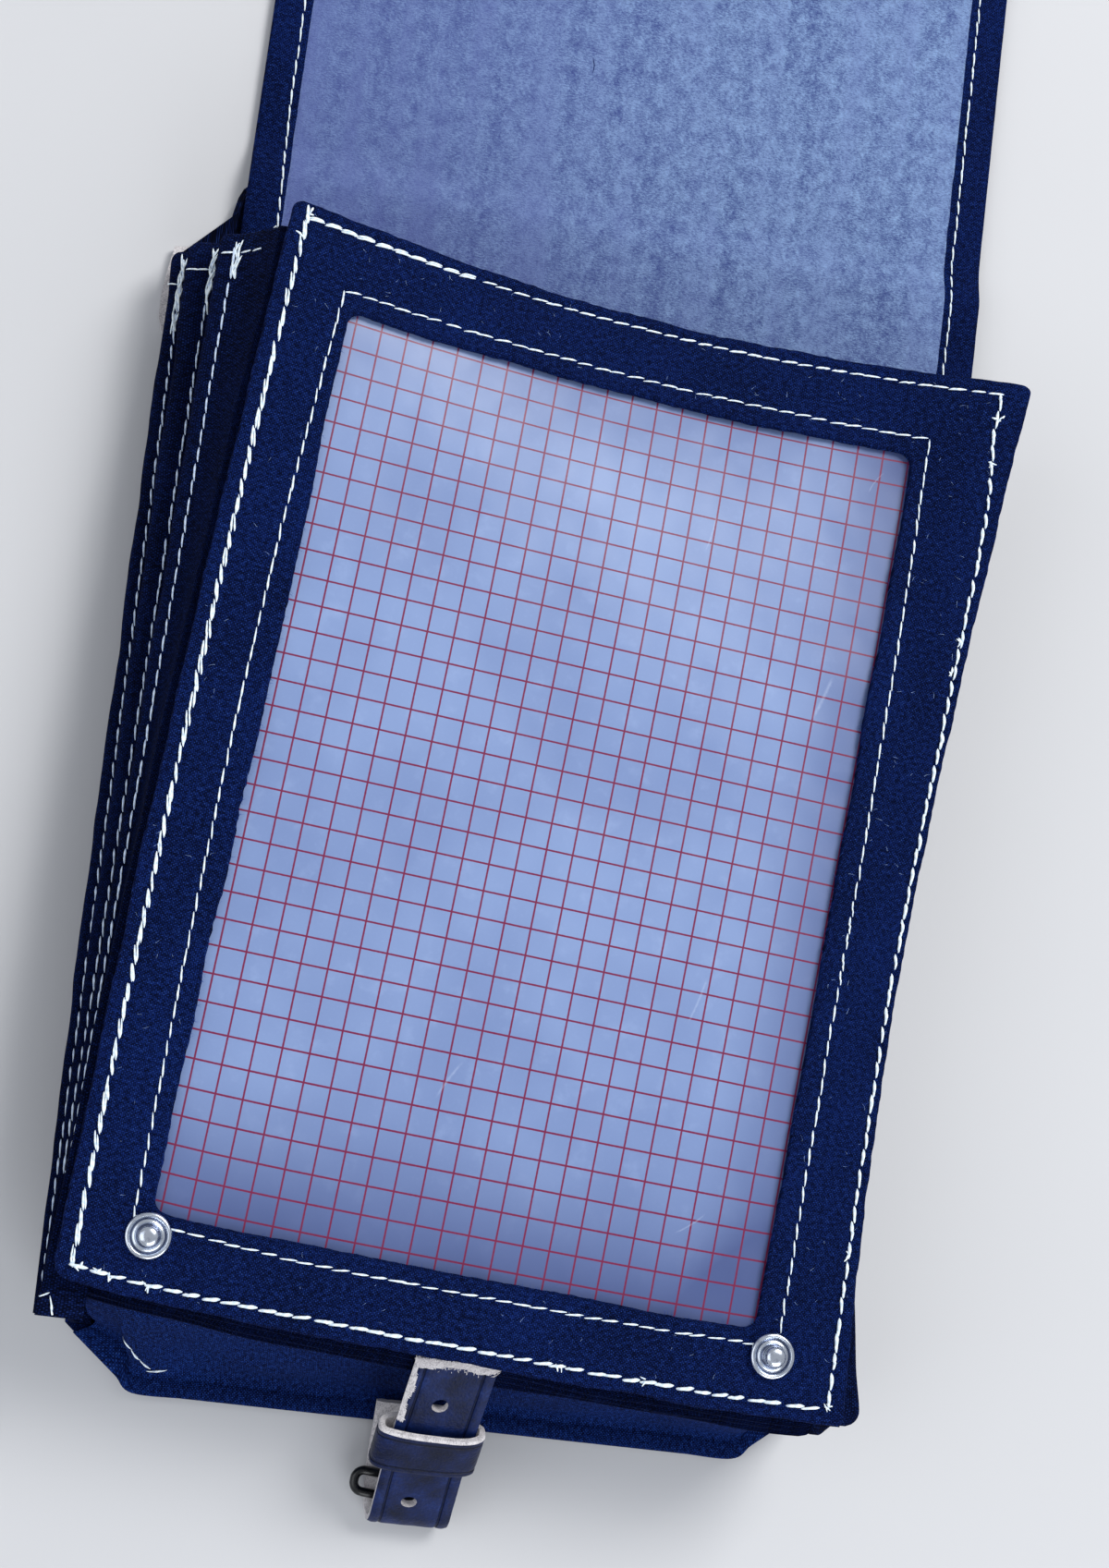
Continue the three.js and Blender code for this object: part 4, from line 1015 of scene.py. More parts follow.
def pocket_point(index, s, t):
    lap = (3 - index) * CANVAS_WALL
    left_y = lerp(corner_y(-1, -1) - lap, LEFT_MOUTH - 1, t)
    right_y = lerp(corner_y(1, -1) - lap, RIGHT_MOUTH - 1, t)
    left = ridge_at(LEFT, index, ridge_share(LEFT, left_y))
    right = ridge_at(RIGHT, index, ridge_share(RIGHT, right_y))
    x_left = -(back_edge(LEFT, left_y) + left["inside"] - SEAM_GAP)
    x_right = back_edge(RIGHT, right_y) + right["inside"] - SEAM_GAP
    dip = MOUTH_DIP * pocket_dips[index] * mouth_slack(2 * s - 1, 2 * t - 1)
    wave = 0.5 * ripple(s * 205, 40.0 * index, 38, 45 + index) * smooth(1 - 2 * t, 0.7, 1)
    sag = FOOT_SAG * foot_slack(2 * s - 1, 2 * t - 1) * pocket_sags[index]
    y = lerp(left_y, right_y, s) - 3 * np.sin(np.pi * s) * t - sag + wave
    to_end = np.minimum(t, 1 - t) / POCKET_TURN
    turned_in = POCKET_ROUND * (1 - np.sqrt(1 - np.clip(1 - to_end, 0, 1) ** 2))
    x = lerp(x_left + turned_in, x_right - turned_in, s)
    return stacked(x, y, lerp(left["z"], right["z"], s) - dip)


t = dense_ends([0, POCKET_TURN, 1 - POCKET_TURN, 1], [8, 78, 8])
s, t = np.meshgrid(np.linspace(0, 1, 70), t, indexing="ij")
for index, label in enumerate(("rear", "middle", "front")):
    wall_points = pocket_point(index, s, t)
    wall_points[..., 2] += CANVAS_WALL / 2 + 0.12 * ripple(s * 200, t * 280, 60, 41 + index)
    cloth = stacked(s * POCKET_CUT[0], t * POCKET_CUT[1])
    # The pocket walls take the darker canvas copy, whose colour is painted shade.
    wall = sheet("canvas_pocket_" + label, wall_points, CANVAS_WALL, cloth, [shaded_pocket_navy])
    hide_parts("pocket_wall_" + label)

# %% The bottom gusset, with its turned rim
CORNER_RUN = 14.0
RIM_WIDTH, RIM_WALL, RIM_FACET = 5.0, 2.2, 4.0
# Along the cut corner: how far, the way's turn, the facet, and the flange that is sewn under.
corner_rows = [
    (0.12, 0.3, 0, 2), (0.3, 0.38, 0.3, 2.2), (0.5, 0.5, 0.4, 2.5), (0.75, 0.75, 0.3, 4.5),
    (1, 1, 0, GUSSET_FLANGE),
]


def bottom_stations():
    """Places round the rim: its x and y, the top seam's x, the way in, facet and flange."""
    left, right = -LEFT["foot_edge"], RIGHT["foot_edge"]
    top_left = left - ridge_at(LEFT, 0, 0)["inside"] + 2 * SEAM_GAP
    top_right = right + ridge_at(RIGHT, 0, 0)["inside"] - 2 * SEAM_GAP
    rim_y = lambda c: (CHAMFER_ALONG - 2 * SEAM_GAP) * (1 - c) + 0.2
    at_left, middle, at_right = [], [], []
    for c, turn, facet, flange in corner_rows:
        cut, run, angle = CHAMFER_ACROSS * c, CORNER_RUN * c, np.pi / 2 * turn
        deep = RIM_FACET * facet
        at_left.append((left + cut, rim_y(c), top_left + run, angle, deep, flange))
        at_right.append((right - cut, rim_y(c), top_right - run, np.pi - angle, deep / 2, flange))
    for f in np.linspace(0, 1, 12)[1:-1]:
        x = lerp(left + CHAMFER_ACROSS, right - CHAMFER_ACROSS, f)
        top_x = lerp(top_left + CORNER_RUN, top_right - CORNER_RUN, f)
        middle.append((x, rim_y(1), top_x, np.pi / 2, 0, GUSSET_FLANGE))
    return at_left + middle + at_right[::-1]


def under_pockets(x, y):
    share = np.clip((x + LEFT["foot_edge"]) / FOOT_WIDTH, 0, 1)
    left = ridge_at(LEFT, 0, ridge_share(LEFT, y + share * 8))["z"]
    right = ridge_at(RIGHT, 0, ridge_share(RIGHT, y - (1 - share) * 8))["z"]
    return min(left, right) - CANVAS_WALL / 2 - SEAM_GAP


def bottom_section(rim_x, rim_y, top_x, turn, facet, flange):
    way = np.array([np.cos(turn), np.sin(turn)])
    share = np.clip((top_x + FRONT_HALF) / (2 * FRONT_HALF), 0, 1)
    top = np.array([top_x, lerp(foot_line(LEFT), foot_line(RIGHT), share) - SEAM_GAP])
    rim = np.array([rim_x, rim_y])
    in_rim = rim + way * (RIM_WIDTH + facet)
    top_z = under_pockets(*top)
    tip = top + way * flange
    tip_z = min(top_z, under_pockets(*tip)) - 0.4
    rim_z = BACK_TOP + RIM_WALL
    out = lambda base, d, z: [*(base + way * d), z]

    def wall(part, inset, lift):
        return [*(lerp(top, in_rim, part) + way * inset), lerp(top_z, rim_z, part) + lift]

    return [
        out(top, flange, tip_z), out(top, 1.5, top_z - 0.3), out(top, 0, top_z - 1.6),
        wall(0.35, 1.1, 0), wall(0.72, 1.4, 0), wall(0.93, 1.9, -0.6),
        out(in_rim, 0.3, rim_z - 0.7), out(in_rim, -1.2, rim_z),
        out(rim, 0.4, rim_z), out(rim, 0, BACK_TOP + RIM_WALL * 0.5), out(rim, 0.3, BACK_TOP),
        out(in_rim, flange, BACK_TOP), out(in_rim, flange, BACK_TOP + CANVAS_WALL),
        out(in_rim, 1.8, rim_z + 0.6), wall(0.72, 3, 0.2), wall(0.35, 2.7, 0.2),
        out(top, 1.7, top_z - 2.2), out(top, flange, tip_z - CANVAS_WALL),
    ]


# %% Smooth curves through rows, and the gusset itself
def with_ends(rows):
    """The rows, with one more past each end."""
    rows = np.asarray(rows, float)
    return np.concatenate([2 * rows[:1] - rows[1:2], rows, 2 * rows[-1:] - rows[-2:-1]])


def between(rows, steps):
    """More rows between the given ones, on smooth curves through them."""
    padded = with_ends(rows)
    made = []
    for i in range(len(rows) - 1):
        p0, p1, p2, p3 = padded[i:i + 4]
        bend, twist = 2 * p0 - 5 * p1 + 4 * p2 - p3, 3 * p1 - p0 - 3 * p2 + p3
        for x in np.arange(steps) / steps:
            made.append(0.5 * (2 * p1 + (p2 - p0) * x + bend * x ** 2 + twist * x ** 3))
    return np.array(made + [padded[-2]])


def wall_slack(x, z):
    """The gusset's wall is not taut: it swells and sinks between its seams."""
    on_wall = smooth(z, 6, 14) * smooth(-z, -CASE_DEPTH + 6, -CASE_DEPTH + 16)
    return on_wall * (1.1 * ripple(x, z * 2.4, 44, 51) + 0.5 * ripple(x, z * 4, 17, 52))


bottom_rows = [bottom_section(*row) for row in bottom_stations()]
bottom_sections = rounded(between(bottom_rows, 8), 2)
bottom_sections[..., 1] += wall_slack(bottom_sections[..., 0], bottom_sections[..., 2])
# A lighter copy of the canvas for the bottom gusset: its colours are painted light on the sloping
# faces that the lamps graze.
lit_bottom_navy = canvas_finish("lit_bottom_canvas", dye(3, 12, 46), dye(21, 52, 128), dye(74, 112, 184))
bottom_piece = tube("canvas_bottom_gusset", bottom_sections, [lit_bottom_navy])
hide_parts("bottom_gusset")

# %% The back panel
def back_rows(y):
    cut = np.clip(1 - y / CHAMFER_ALONG, 0, 1) * CHAMFER_ACROSS
    past = np.clip((y - (BACK_LENGTH - 6)) / 6, 0, 1)
    turn = 6 * (1 - np.sqrt(np.clip(1 - past ** 2, 0, 1)))
    return -back_edge(LEFT, y) + cut + turn, back_edge(RIGHT, y) - cut - turn


t = dense_ends([0, 20, BACK_LENGTH - 8, BACK_LENGTH], [12, 60, 10])
s, t = np.meshgrid(np.linspace(0, 1, 60), t, indexing="ij")
left, right = back_rows(t)
back_points = stacked(lerp(left, right, s), t, BACK_WALL)
back_piece = sheet("canvas_back", back_points, BACK_WALL, back_points[..., :2], [navy])
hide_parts("back_panel")

# %% [markdown]
# ## The flap
#
# Two layers: canvas outside, brushed lining inside, with the canvas turned over all round as
# a hem that covers the lining's edge. It lies open and flat, inside up.

# %% Flap shape
FLAP_ROOT = BACK_LENGTH - 40.0
FLAP_END = BACK_LENGTH + CASE_DEPTH + 2 * FRONT_REACH + 4
FLAP_HEM, FLAP_CORNER = 11.2, 24.0
ROOT_HEIGHT = BACK_TOP + CANVAS_WALL + SEAM_GAP
SHOULDER_Y = RIGHT_MOUTH + RIDGE_TIP + 8


def flap_lift(x, y):
    down = smooth(y, BACK_LENGTH + 4, BACK_LENGTH + 18)
    wave = (0.5 + 0.5 * ripple(x, y, 120, 61)).clip(0, 1.4)
    return ROOT_HEIGHT * (1 - down) + 0.9 * down * wave


def flap_half(y, inset):
    corner = FLAP_CORNER - inset
    past = np.clip(y - (FLAP_END - inset - corner), 0, corner * 0.9995)
    narrow = corner - np.sqrt(corner ** 2 - past ** 2)
    return FLAP_HALF - inset - narrow - 8.5 * np.clip((SHOULDER_Y - y) / 5, 0, 1)


def from_flap_edge(x, y):
    turn_y = FLAP_END - FLAP_CORNER
    qx, qy = np.abs(x) - (FLAP_HALF - FLAP_CORNER), y - turn_y
    straight = np.minimum(flap_half(np.minimum(y, turn_y), 0) - np.abs(x), FLAP_END - y)
    return np.where((qx > 0) & (qy > 0), FLAP_CORNER - np.hypot(qx, qy), straight)


def flap_grid(inset, start):
    edge = np.linspace(0, 0.075, 17)
    s = np.concatenate([edge[:-1], np.linspace(0.075, 0.925, 46), 1 - edge[-2::-1]])
    corner = FLAP_CORNER - inset
    turn_y = FLAP_END - inset - corner
    rows = [start, SHOULDER_Y - 5, SHOULDER_Y, *np.linspace(SHOULDER_Y + 2, turn_y, 150)[:-1]]
    bend = np.linspace(0, np.pi / 2 * 0.985, 22)
    s, y = np.meshgrid(s, [*rows, *(turn_y + corner * np.sin(bend))], indexing="ij")
    return (2 * s - 1) * flap_half(y, inset), y


HEM_STITCH = 9.0
x, y = flap_grid(0, FLAP_ROOT)
depth_in = from_flap_edge(x, y)
hem = smooth(depth_in, FLAP_HEM + 0.5, FLAP_HEM - 0.4)
hem_dent = 0.75 + 0.25 * np.cos(2 * np.pi * y / STITCH_PITCH)
hem_pull = 0.45 * np.exp(-(((depth_in - HEM_STITCH) / 1.2) ** 2)) * hem_dent
hem_rise = (HEM_WALL + 0.12 * ripple(x, y, 12, 63)) * hem
flap_points = stacked(x, y, flap_lift(x, y) + CANVAS_WALL + hem_rise - hem_pull)
flap_cloth = flap_points[..., :2]
flap_piece = sheet("canvas_flap", flap_points, CANVAS_WALL, flap_cloth, [navy])
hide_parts("flap")

LINING_FOOT = CANVAS_WALL + SEAM_GAP / 2
x, y = flap_grid(FLAP_HEM - 0.6, FLAP_ROOT + 0.3)
nap = 0.05 * ripple(x, y, 18, 65)
lining_points = stacked(x, y, flap_lift(x, y) + LINING_FOOT + LINING_WALL + nap)
lining_cloth = lining_points[..., :2]
lining_piece = sheet(
    "brushed_flap_lining", lining_points, LINING_WALL, lining_cloth, [lining_nap])
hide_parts("flap_lining")

# %% [markdown]
# ## Studs and sockets
#
# A press stud is spun from sheet: a rolled rim, a dished base and a post with a domed head.
# A profile turned round its axis gives it, with the corners of the profile rounded first.

# %% Turned metal
# Each profile lists distance from the axis and height, from the middle of the base.
stud_profile = [
    (0, 0), (5.0, 0), (5.6, 0.25), (5.85, 0.8), (5.6, 1.4), (5.1, 1.6), (4.6, 1.4),
    (4.3, 0.9), (3.9, 0.75), (3.4, 0.95), (3.0, 0.8), (2.75, 0.85), (2.3, 1.4), (2.1, 2.4),
    (2.45, 2.9), (2.65, 3.5), (2.5, 4.2), (2.0, 4.7), (1.2, 4.95), (0.5, 5.0), (0, 5.0),
]
socket_profile = [
    (0, 0), (5.6, 0), (5.8, 0.5), (5.4, 1.3), (4.4, 2.2), (3.6, 2.6), (2.9, 2.5),
    (2.55, 2.2), (2.5, 1.0), (0, 0.9),
]


def turned(name, profile, centre, up, finishes, sides=56):
    rows = between(profile, 3)
    rows[:, 0] = np.maximum(rows[:, 0], 0.02)
    angle = np.arange(sides) * 2 * np.pi / sides
    up = unit(np.asarray(up, float))
    side = unit(np.cross([0, 1, 0], up))
    front = np.cross(up, side)
    ring = np.cos(angle)[:, None] * side + np.sin(angle)[:, None] * front
    sections = centre + rows[:, 0, None, None] * ring + rows[:, 1, None, None] * up
    points = sections.reshape(-1, 3)
    faces = list(tube_parts(sections, False)[0])
    faces += [end * sides + np.arange(sides) for end in (0, len(rows) - 1)]
    flat = np.concatenate([(points - centre)[face][:, :2] for face in faces])
    return build(name, points, faces, flat, finishes)


SOCKET_ASIDE, SOCKET_Y, SUNK = 81.0, FLAP_END - FLAP_HEM - 14.6, 0.1
stud_places = {"left": (-81.7, -125.6), "right": (79.9, -125.6)}
for label, (u, v) in stud_places.items():
    seat = front_point(u, v, -SUNK)
    made = turned(
        "press_stud_" + label, stud_profile, seat, [0, 0, 1], [bright_steel])
    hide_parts("stud_" + label)
    x = np.sign(u) * SOCKET_ASIDE
    seat = np.array([x, SOCKET_Y, flap_lift(x, SOCKET_Y) + LINING_FOOT + LINING_WALL - SUNK])
    made = turned(
        "press_socket_" + label, socket_profile, seat, [0, 0, 1], [bright_steel])
    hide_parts("snap_socket_" + label)

# %% [markdown]
# ## Strap, keeper and buckle
#
# The strap comes out of the bottom seam flesh side up, turns over and runs up the gusset with
# its grain showing, through a leather keeper. Its raw edges are pale. The flat strip is cut
# first, holes and all, then every point is carried onto the curve that the strap follows.

# %% The line of the strap
STRAP_WIDTH, STRAP_SHIFT, STRAP_FOLD, STRAP_RISE = 21.2, -13.0, 25.0, 40.0
strap_rows = [
    (0.24, 0.06, -0.15), (0.02, 0.02, -0.15), (-0.33, -0.055, -0.15), (-0.62, -0.095, -0.14),
    (-0.85, -0.095, -0.12), (-0.95, -0.07, -0.09), (-0.985, -0.01, -0.07), (-0.93, 0.06, -0.06),
    (-0.75, 0.17, -0.06), (-0.3, 0.43, -0.06), (0.25, 0.74, -0.03), (0.86, 1.0, 0.04),
]
STRAP_ROOT_Z = BACK_TOP + RIM_WALL + SEAM_GAP + LEATHER_WALL / 2


def centripetal(points, steps=30):
    """The same smooth curve as the solid strap's, through every point."""
    padded = with_ends(points)
    made = []
    for i in range(len(points) - 1):
        p0, p1, p2, p3 = four = padded[i:i + 4]
        gaps = np.linalg.norm(np.diff(four, axis=0), axis=1)
        d0, d1, d2 = np.maximum(gaps ** 0.5, 1e-4)
        t1 = ((p1 - p0) / d0 - (p2 - p0) / (d0 + d1) + (p2 - p1) / d1) * d1
        t2 = ((p2 - p1) / d1 - (p3 - p1) / (d1 + d2) + (p3 - p2) / d2) * d1
        bend, twist = -3 * p1 + 3 * p2 - 2 * t1 - t2, 2 * p1 - 2 * p2 + t1 + t2
        x = np.arange(steps)[:, None] / steps
        made.append(p1 + t1 * x + bend * x ** 2 + twist * x ** 3)
    return np.concatenate(made + [padded[-2:-1]])


strap_curve = centripetal([
    (STRAP_SHIFT + STRAP_WIDTH * shift, STRAP_FOLD * y, STRAP_ROOT_Z + STRAP_RISE * z)
    for y, z, shift in strap_rows
])
strap_run = run_of(strap_curve)
STRAP_LENGTH = strap_run[-1]
strap_way = unit(np.gradient(strap_curve, strap_run, axis=0))
print("strap length along its middle", round(float(STRAP_LENGTH), 1), "mm")


def on_strap(along, aside, out):
    """A point of the strap: along its run, aside from its middle, out of its grain face."""
    way = unit(at_run(along, strap_run, strap_way))
    face = unit(stacked(0 * along, -way[..., 2], way[..., 1]))
    moved = at_run(along, strap_run, strap_curve) + face * np.asarray(out)[..., None]
    moved[..., 0] += aside
    return moved


# %% The strap, cut flat and bent
STRAP_HOLE = 4.2
strap_holes = [(0.465, -1.4), (0.85, -1.0)]


def strap_outline(step):
    half = STRAP_WIDTH / 2
    along = np.arange(0, STRAP_LENGTH, step)
    across = np.arange(-half, half, step)
    ragged = STRAP_LENGTH - 0.35 - 0.3 * ripple(across, 0 * across, 6, 71)
    return np.concatenate([
        stacked(along, -half), stacked(ragged, across),
        stacked(along[::-1], half), stacked(0, across[::-1])[:-1],
    ])


def grid_inside(outline, holes, step):
    """Points a step apart within the outline's box, none in or beside a hole."""
    low, high = outline.min(axis=0) + step, outline.max(axis=0) - [step, step / 2]
    a, b = np.meshgrid(*[np.arange(*ends, step) for ends in zip(low, high)], indexing="ij")
    fill = stacked(a.ravel(), b.ravel())
    for x, y, r in holes:
        fill = fill[np.hypot(fill[:, 0] - x, fill[:, 1] - y) > r + 0.3]
    return fill


def cut_flat(outline, holes, step):
    """Triangles of a flat strip inside an outline, with round holes."""
    turn = np.linspace(0, 2 * np.pi, 29)[:-1]
    rings = [stacked(x + r * np.cos(turn), y + r * np.sin(turn)) for x, y, r in holes]
    points, edges = [], []
    for loop in [outline, *rings]:
        first, count = len(points), len(loop)
        points += [Vector(p) for p in loop]
        edges += [(first + i, first + (i + 1) % count) for i in range(count)]
    points += [Vector(p) for p in grid_inside(outline, holes, step)]
    made = delaunay_2d_cdt(points, edges, [], 0, 1e-5)
    flat = np.array([tuple(p) for p in made[0]])
    faces = np.array([f for f in made[2] if len(f) == 3])
    middle = flat[faces].mean(axis=1)
    keep = (middle[:, 0] > outline[:, 0].min()) & (middle[:, 0] < outline[:, 0].max() + 1)
    for x, y, r in holes:
        keep &= np.hypot(middle[:, 0] - x, middle[:, 1] - y) > r * 0.98
    return flat, faces[keep]


def thick_cut(name, flat, faces, carry, wall, finishes, chosen):
    """Both faces of a cut strip and the walls between them; carry takes it to its shape."""
    count, tall = len(flat), np.array([0, wall])
    top, bottom = carry(flat, wall / 2), carry(flat, -wall / 2)
    sides = np.concatenate([faces[:, [0, 1]], faces[:, [1, 2]], faces[:, [2, 0]]])
    edges, times = np.unique(np.sort(sides, axis=1), axis=0, return_counts=True)
    start, end = edges[times == 1].T
    walls = np.stack([start, end, end + count, start + count], axis=1)
    every = [*faces, *(faces[:, ::-1] + count), *walls]
    wall_cloth = [flat[start], flat[end], flat[end] + tall, flat[start] + tall]
    cloth = [flat[faces], flat[faces[:, ::-1]], np.stack(wall_cloth, axis=1)]
    cloth = np.concatenate([corners.reshape(-1, 2) for corners in cloth])
    choice = [chosen(flat[faces].mean(axis=1)), np.ones(len(faces)), np.ones(len(walls))]
    points = np.concatenate([top, bottom])
    return build(name, points, every, cloth, finishes, np.concatenate(choice))


def strap_carry(flat, out):
    along, aside = flat.T
    half, sign = STRAP_WIDTH / 2, 1 if out > 0 else -1
    crease = 0.32 * np.exp(-(((np.abs(aside) - half + 3) / 0.45) ** 2)) * (out > 0)
    upper = smooth(along, STRAP_LENGTH * 0.74, STRAP_LENGTH * 0.8)
    worn = 0.35 * smooth(np.abs(aside), half - 1.2, half)
    worn = worn + 0.5 * smooth(-aside, half - 1.8, half) * upper
    uneven = 0.05 * ripple(along, aside, 8, 73)
    return on_strap(along, aside, out - crease - sign * worn + uneven)


def raw_end(middle):
    along, aside = middle.T
    band = 2.7 + 0.8 * ripple(aside, 0 * aside, 9, 75)
    skived = 1.5 + 0.4 * ripple(along, 0 * along, 7, 76)
    beside = (along > STRAP_LENGTH * 0.78) & (aside < skived - STRAP_WIDTH / 2)
    return ((along > STRAP_LENGTH - band) | beside).astype(int)


holes = [(share * STRAP_LENGTH, aside, STRAP_HOLE / 2) for share, aside in strap_holes]
flat, faces = cut_flat(strap_outline(0.55), holes, 0.55)
cut_leather = [grain_leather, raw_leather]
strap_piece = thick_cut(
    "leather_strap", flat, faces, strap_carry, LEATHER_WALL, cut_leather, raw_end)
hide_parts("closing_strap")

# %% The keeper round it
KEEPER_SHARE, KEEPER_ASIDE, KEEPER_HEIGHT, KEEPER_WALL, KEEPER_PLAY = 0.69, -0.8, 14.0, 2.0, 1.3
KEEPER_TURNS, KEEPER_OUTER, KEEPER_INNER = 150, 22, 6


def keeper_profile():
    """How far the keeper's wall lies within its outline, and how high, outside then inside."""
    profile = []
    for up in np.linspace(-1, 1, KEEPER_OUTER):
        groove = 0.22 * np.exp(-(((abs(up) - 0.68) / 0.05) ** 2))
        profile.append((groove + 0.4 * smooth(abs(up), 0.93, 1), up))
    inner = np.linspace(1, -1, KEEPER_INNER)
    return profile + [(KEEPER_WALL - 0.35 * smooth(abs(up), 0.8, 1), up) for up in inner]


def keeper_points():
    along = KEEPER_SHARE * STRAP_LENGTH
    at = on_strap(np.array([along]), 0, 0)[0]
    way = unit(at_run(along, strap_run, strap_way))
    face = unit(np.array([0, -way[2], way[1]]))
    side = np.array([1.0, 0, 0])
    wide = STRAP_WIDTH / 2 + KEEPER_PLAY + KEEPER_WALL
    deep = LEATHER_WALL / 2 + KEEPER_PLAY + KEEPER_WALL
    round_off = lambda n: np.sign(n) * np.abs(n) ** 0.6
    rows = []
    for turn in np.arange(KEEPER_TURNS) * 2 * np.pi / KEEPER_TURNS:
        c, s = round_off(np.cos(turn)), round_off(np.sin(turn))
        uneven = 0.25 * np.sin(turn * 3 + 1)
        rows.append([
            at + side * ((wide - shrink) * c + KEEPER_ASIDE) + face * (deep - shrink) * s
            + way * (up * KEEPER_HEIGHT / 2 + uneven * (up > 0))
            for shrink, up in keeper_profile()
        ])
    return np.array(rows)


keeper_rows = keeper_points()
keeper_piece = tube(
    "leather_keeper", keeper_rows, [keeper_leather, raw_leather], ring=True)
place = np.arange(len(keeper_piece.data.polygons)) % keeper_rows.shape[1]
raw = (place >= KEEPER_OUTER - 2).astype(np.int32)
keeper_piece.data.polygons.foreach_set("material_index", raw)
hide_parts("strap_keeper")

# %% The wire buckle
WIRE, BUCKLE_WIDTH, BUCKLE_HEIGHT = 2.4, 29.0, 8.0


def wire_ring(half_wide, half_tall, centre, tilt, wire):
    steps = [30, 10, 30, 10]
    ring = round_box(-half_wide, half_wide, -half_tall, half_tall, half_tall * 0.9, steps)
    ring = ring[np.r_[True, np.linalg.norm(np.diff(ring, axis=0), axis=1) > 0.02]]
    along = unit(np.roll(ring, -1, axis=0) - np.roll(ring, 1, axis=0))
    out = stacked(along[:, 1], -along[:, 0])
    turn = np.arange(16) * 2 * np.pi / 16
    flat = ring[:, None] + out[:, None] * (np.cos(turn) * wire / 2)[None, :, None]
    x, y = flat[..., 0], flat[..., 1]
    c, s = np.cos(tilt), np.sin(tilt)
    return stacked(x * c - y * s, x * s + y * c, np.sin(turn) * wire / 2) + centre


buckle_rise = LEATHER_WALL / 2 + SEAM_GAP + WIRE / 2 + 0.4
buckle_at = np.array([
    STRAP_SHIFT - STRAP_WIDTH * 0.16, -STRAP_FOLD * 0.66,
    STRAP_ROOT_Z - STRAP_RISE * 0.095 + buckle_rise])
half_wide, half_tall = (BUCKLE_WIDTH - WIRE) / 2, (BUCKLE_HEIGHT - WIRE) / 2
buckle_rows = wire_ring(half_wide, half_tall, buckle_at, np.radians(-5), WIRE)
buckle_piece = tube("wire_buckle", buckle_rows, [black_wire], ring=True)
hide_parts("buckle")

# %% Leather tabs at the mouth
TAB_REACH, TAB_LENGTH = 16.0, 31.0


def tab_outline(reach):
    turn, high_y = np.linspace(0, np.pi / 2, 9), TAB_LENGTH * 0.46
    foot = stacked(np.linspace(0, reach - 7, 7), 0)[:-1]
    low = stacked(reach - 7 + 7 * np.sin(turn), 7 - 7 * np.cos(turn))
    up = stacked(reach, np.linspace(7, high_y, 9))[1:-1]
    top = stacked(reach - 12 + 12 * np.cos(turn), high_y + TAB_LENGTH * 0.36 * np.sin(turn))
    back = stacked(0, np.linspace(TAB_LENGTH * 0.9, 0, 9))[:-1]
    return np.concatenate([foot, low, up, top, back])


for label, side in SIDES.items():
    sign = side["sign"]
    inner = back_edge(side, side["mouth_y"]) + SEAM_GAP + 0.3
    low = side["mouth_y"] - TAB_LENGTH * 0.7
    middle_z = 0.4 + LEATHER_WALL / 2
    flat, faces = cut_flat(tab_outline(TAB_REACH - 2 * (sign > 0)), [], 1.2)
    tab = thick_cut(
        "leather_tab_" + label, flat, faces,
        lambda f, out: stacked(sign * (inner + f[:, 0]), low + f[:, 1], middle_z + out),
        LEATHER_WALL, cut_leather, lambda middle: np.ones(len(middle)))
    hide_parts("strap_tab_" + label)

# %% [markdown]
# ## Stitches
#
# Each stitch is a short length of two-ply thread that comes up through one needle hole and
# goes down through the next. It lies a little askew, bulges in the middle, and its ends sink
# into the cloth. All the stitches of one seam make one mesh, settled onto the cloth below.

# %% Laying stitches along a seam
PLY_SIDES, STITCH_RINGS = 8, 10


def cloth_below(pieces):
    trees = []
    for piece in pieces:
        points = (np.array([v.co for v in piece.data.vertices]) - CASE_ORIGIN) / MM
        polygons = [tuple(p.vertices) for p in piece.data.polygons]
        trees.append(BVHTree.FromPolygons(points.tolist(), polygons))
    return trees


def settle(points, trees, up=(0, 0, 1), reach=6.0):
    """Puts each point on the cloth under it, and gives the cloth's normal there.

    With no reach, or with no cloth under the point, the nearest cloth is taken."""
    way = Vector(up).normalized()
    placed_at, normals = [], []
    for point in points:
        start, hits = Vector(point) + way * reach, []
        if reach:
            hits = [tree.ray_cast(start, -way, 2 * reach) for tree in trees]
            hits = [found for found in hits if found[0] is not None]
        hits = hits or [tree.find_nearest(Vector(point)) for tree in trees]
        best = min(hits, key=lambda found: found[3])
        normal = best[1] if best[1].dot(way) > 0 else -best[1]
        placed_at.append(tuple(best[0]))
        normals.append(tuple(normal))
    return np.array(placed_at), unit(np.array(normals))


def thread_mesh(name, centres, sides, ups, radii, finish, turns=1.4, lobes=0.16, slot="canvas"):
    """centres, sides and ups are (stitches, rings, 3); radii is (stitches, rings)."""
    count, rings = radii.shape
    angle = np.arange(PLY_SIDES) * 2 * np.pi / PLY_SIDES
    spin = np.arange(rings)[:, None] / rings * 2 * np.pi * turns
    lobe = 1 + lobes * np.cos(2 * angle[None] - spin)
    wide = (radii[..., None] * lobe[None])[..., None]
    ring = np.cos(angle)[:, None] * sides[:, :, None]
    ring = ring + 0.85 * np.sin(angle)[:, None] * ups[:, :, None]
    points = centres[:, :, None] + ring * wide
    faces, corners = [], []
    for i in range(count):
        first = i * rings * PLY_SIDES
        quads, cloth = tube_parts(points[i], False, first)
        faces += list(quads)
        corners.append(cloth.reshape(-1, 2) + [i * 3.7, 0])
        for end in (0, rings - 1):
            faces.append(first + end * PLY_SIDES + np.arange(PLY_SIDES))
            corners.append(np.zeros((PLY_SIDES, 2)))
    return build(name, points.reshape(-1, 3), faces, np.concatenate(corners), [finish])


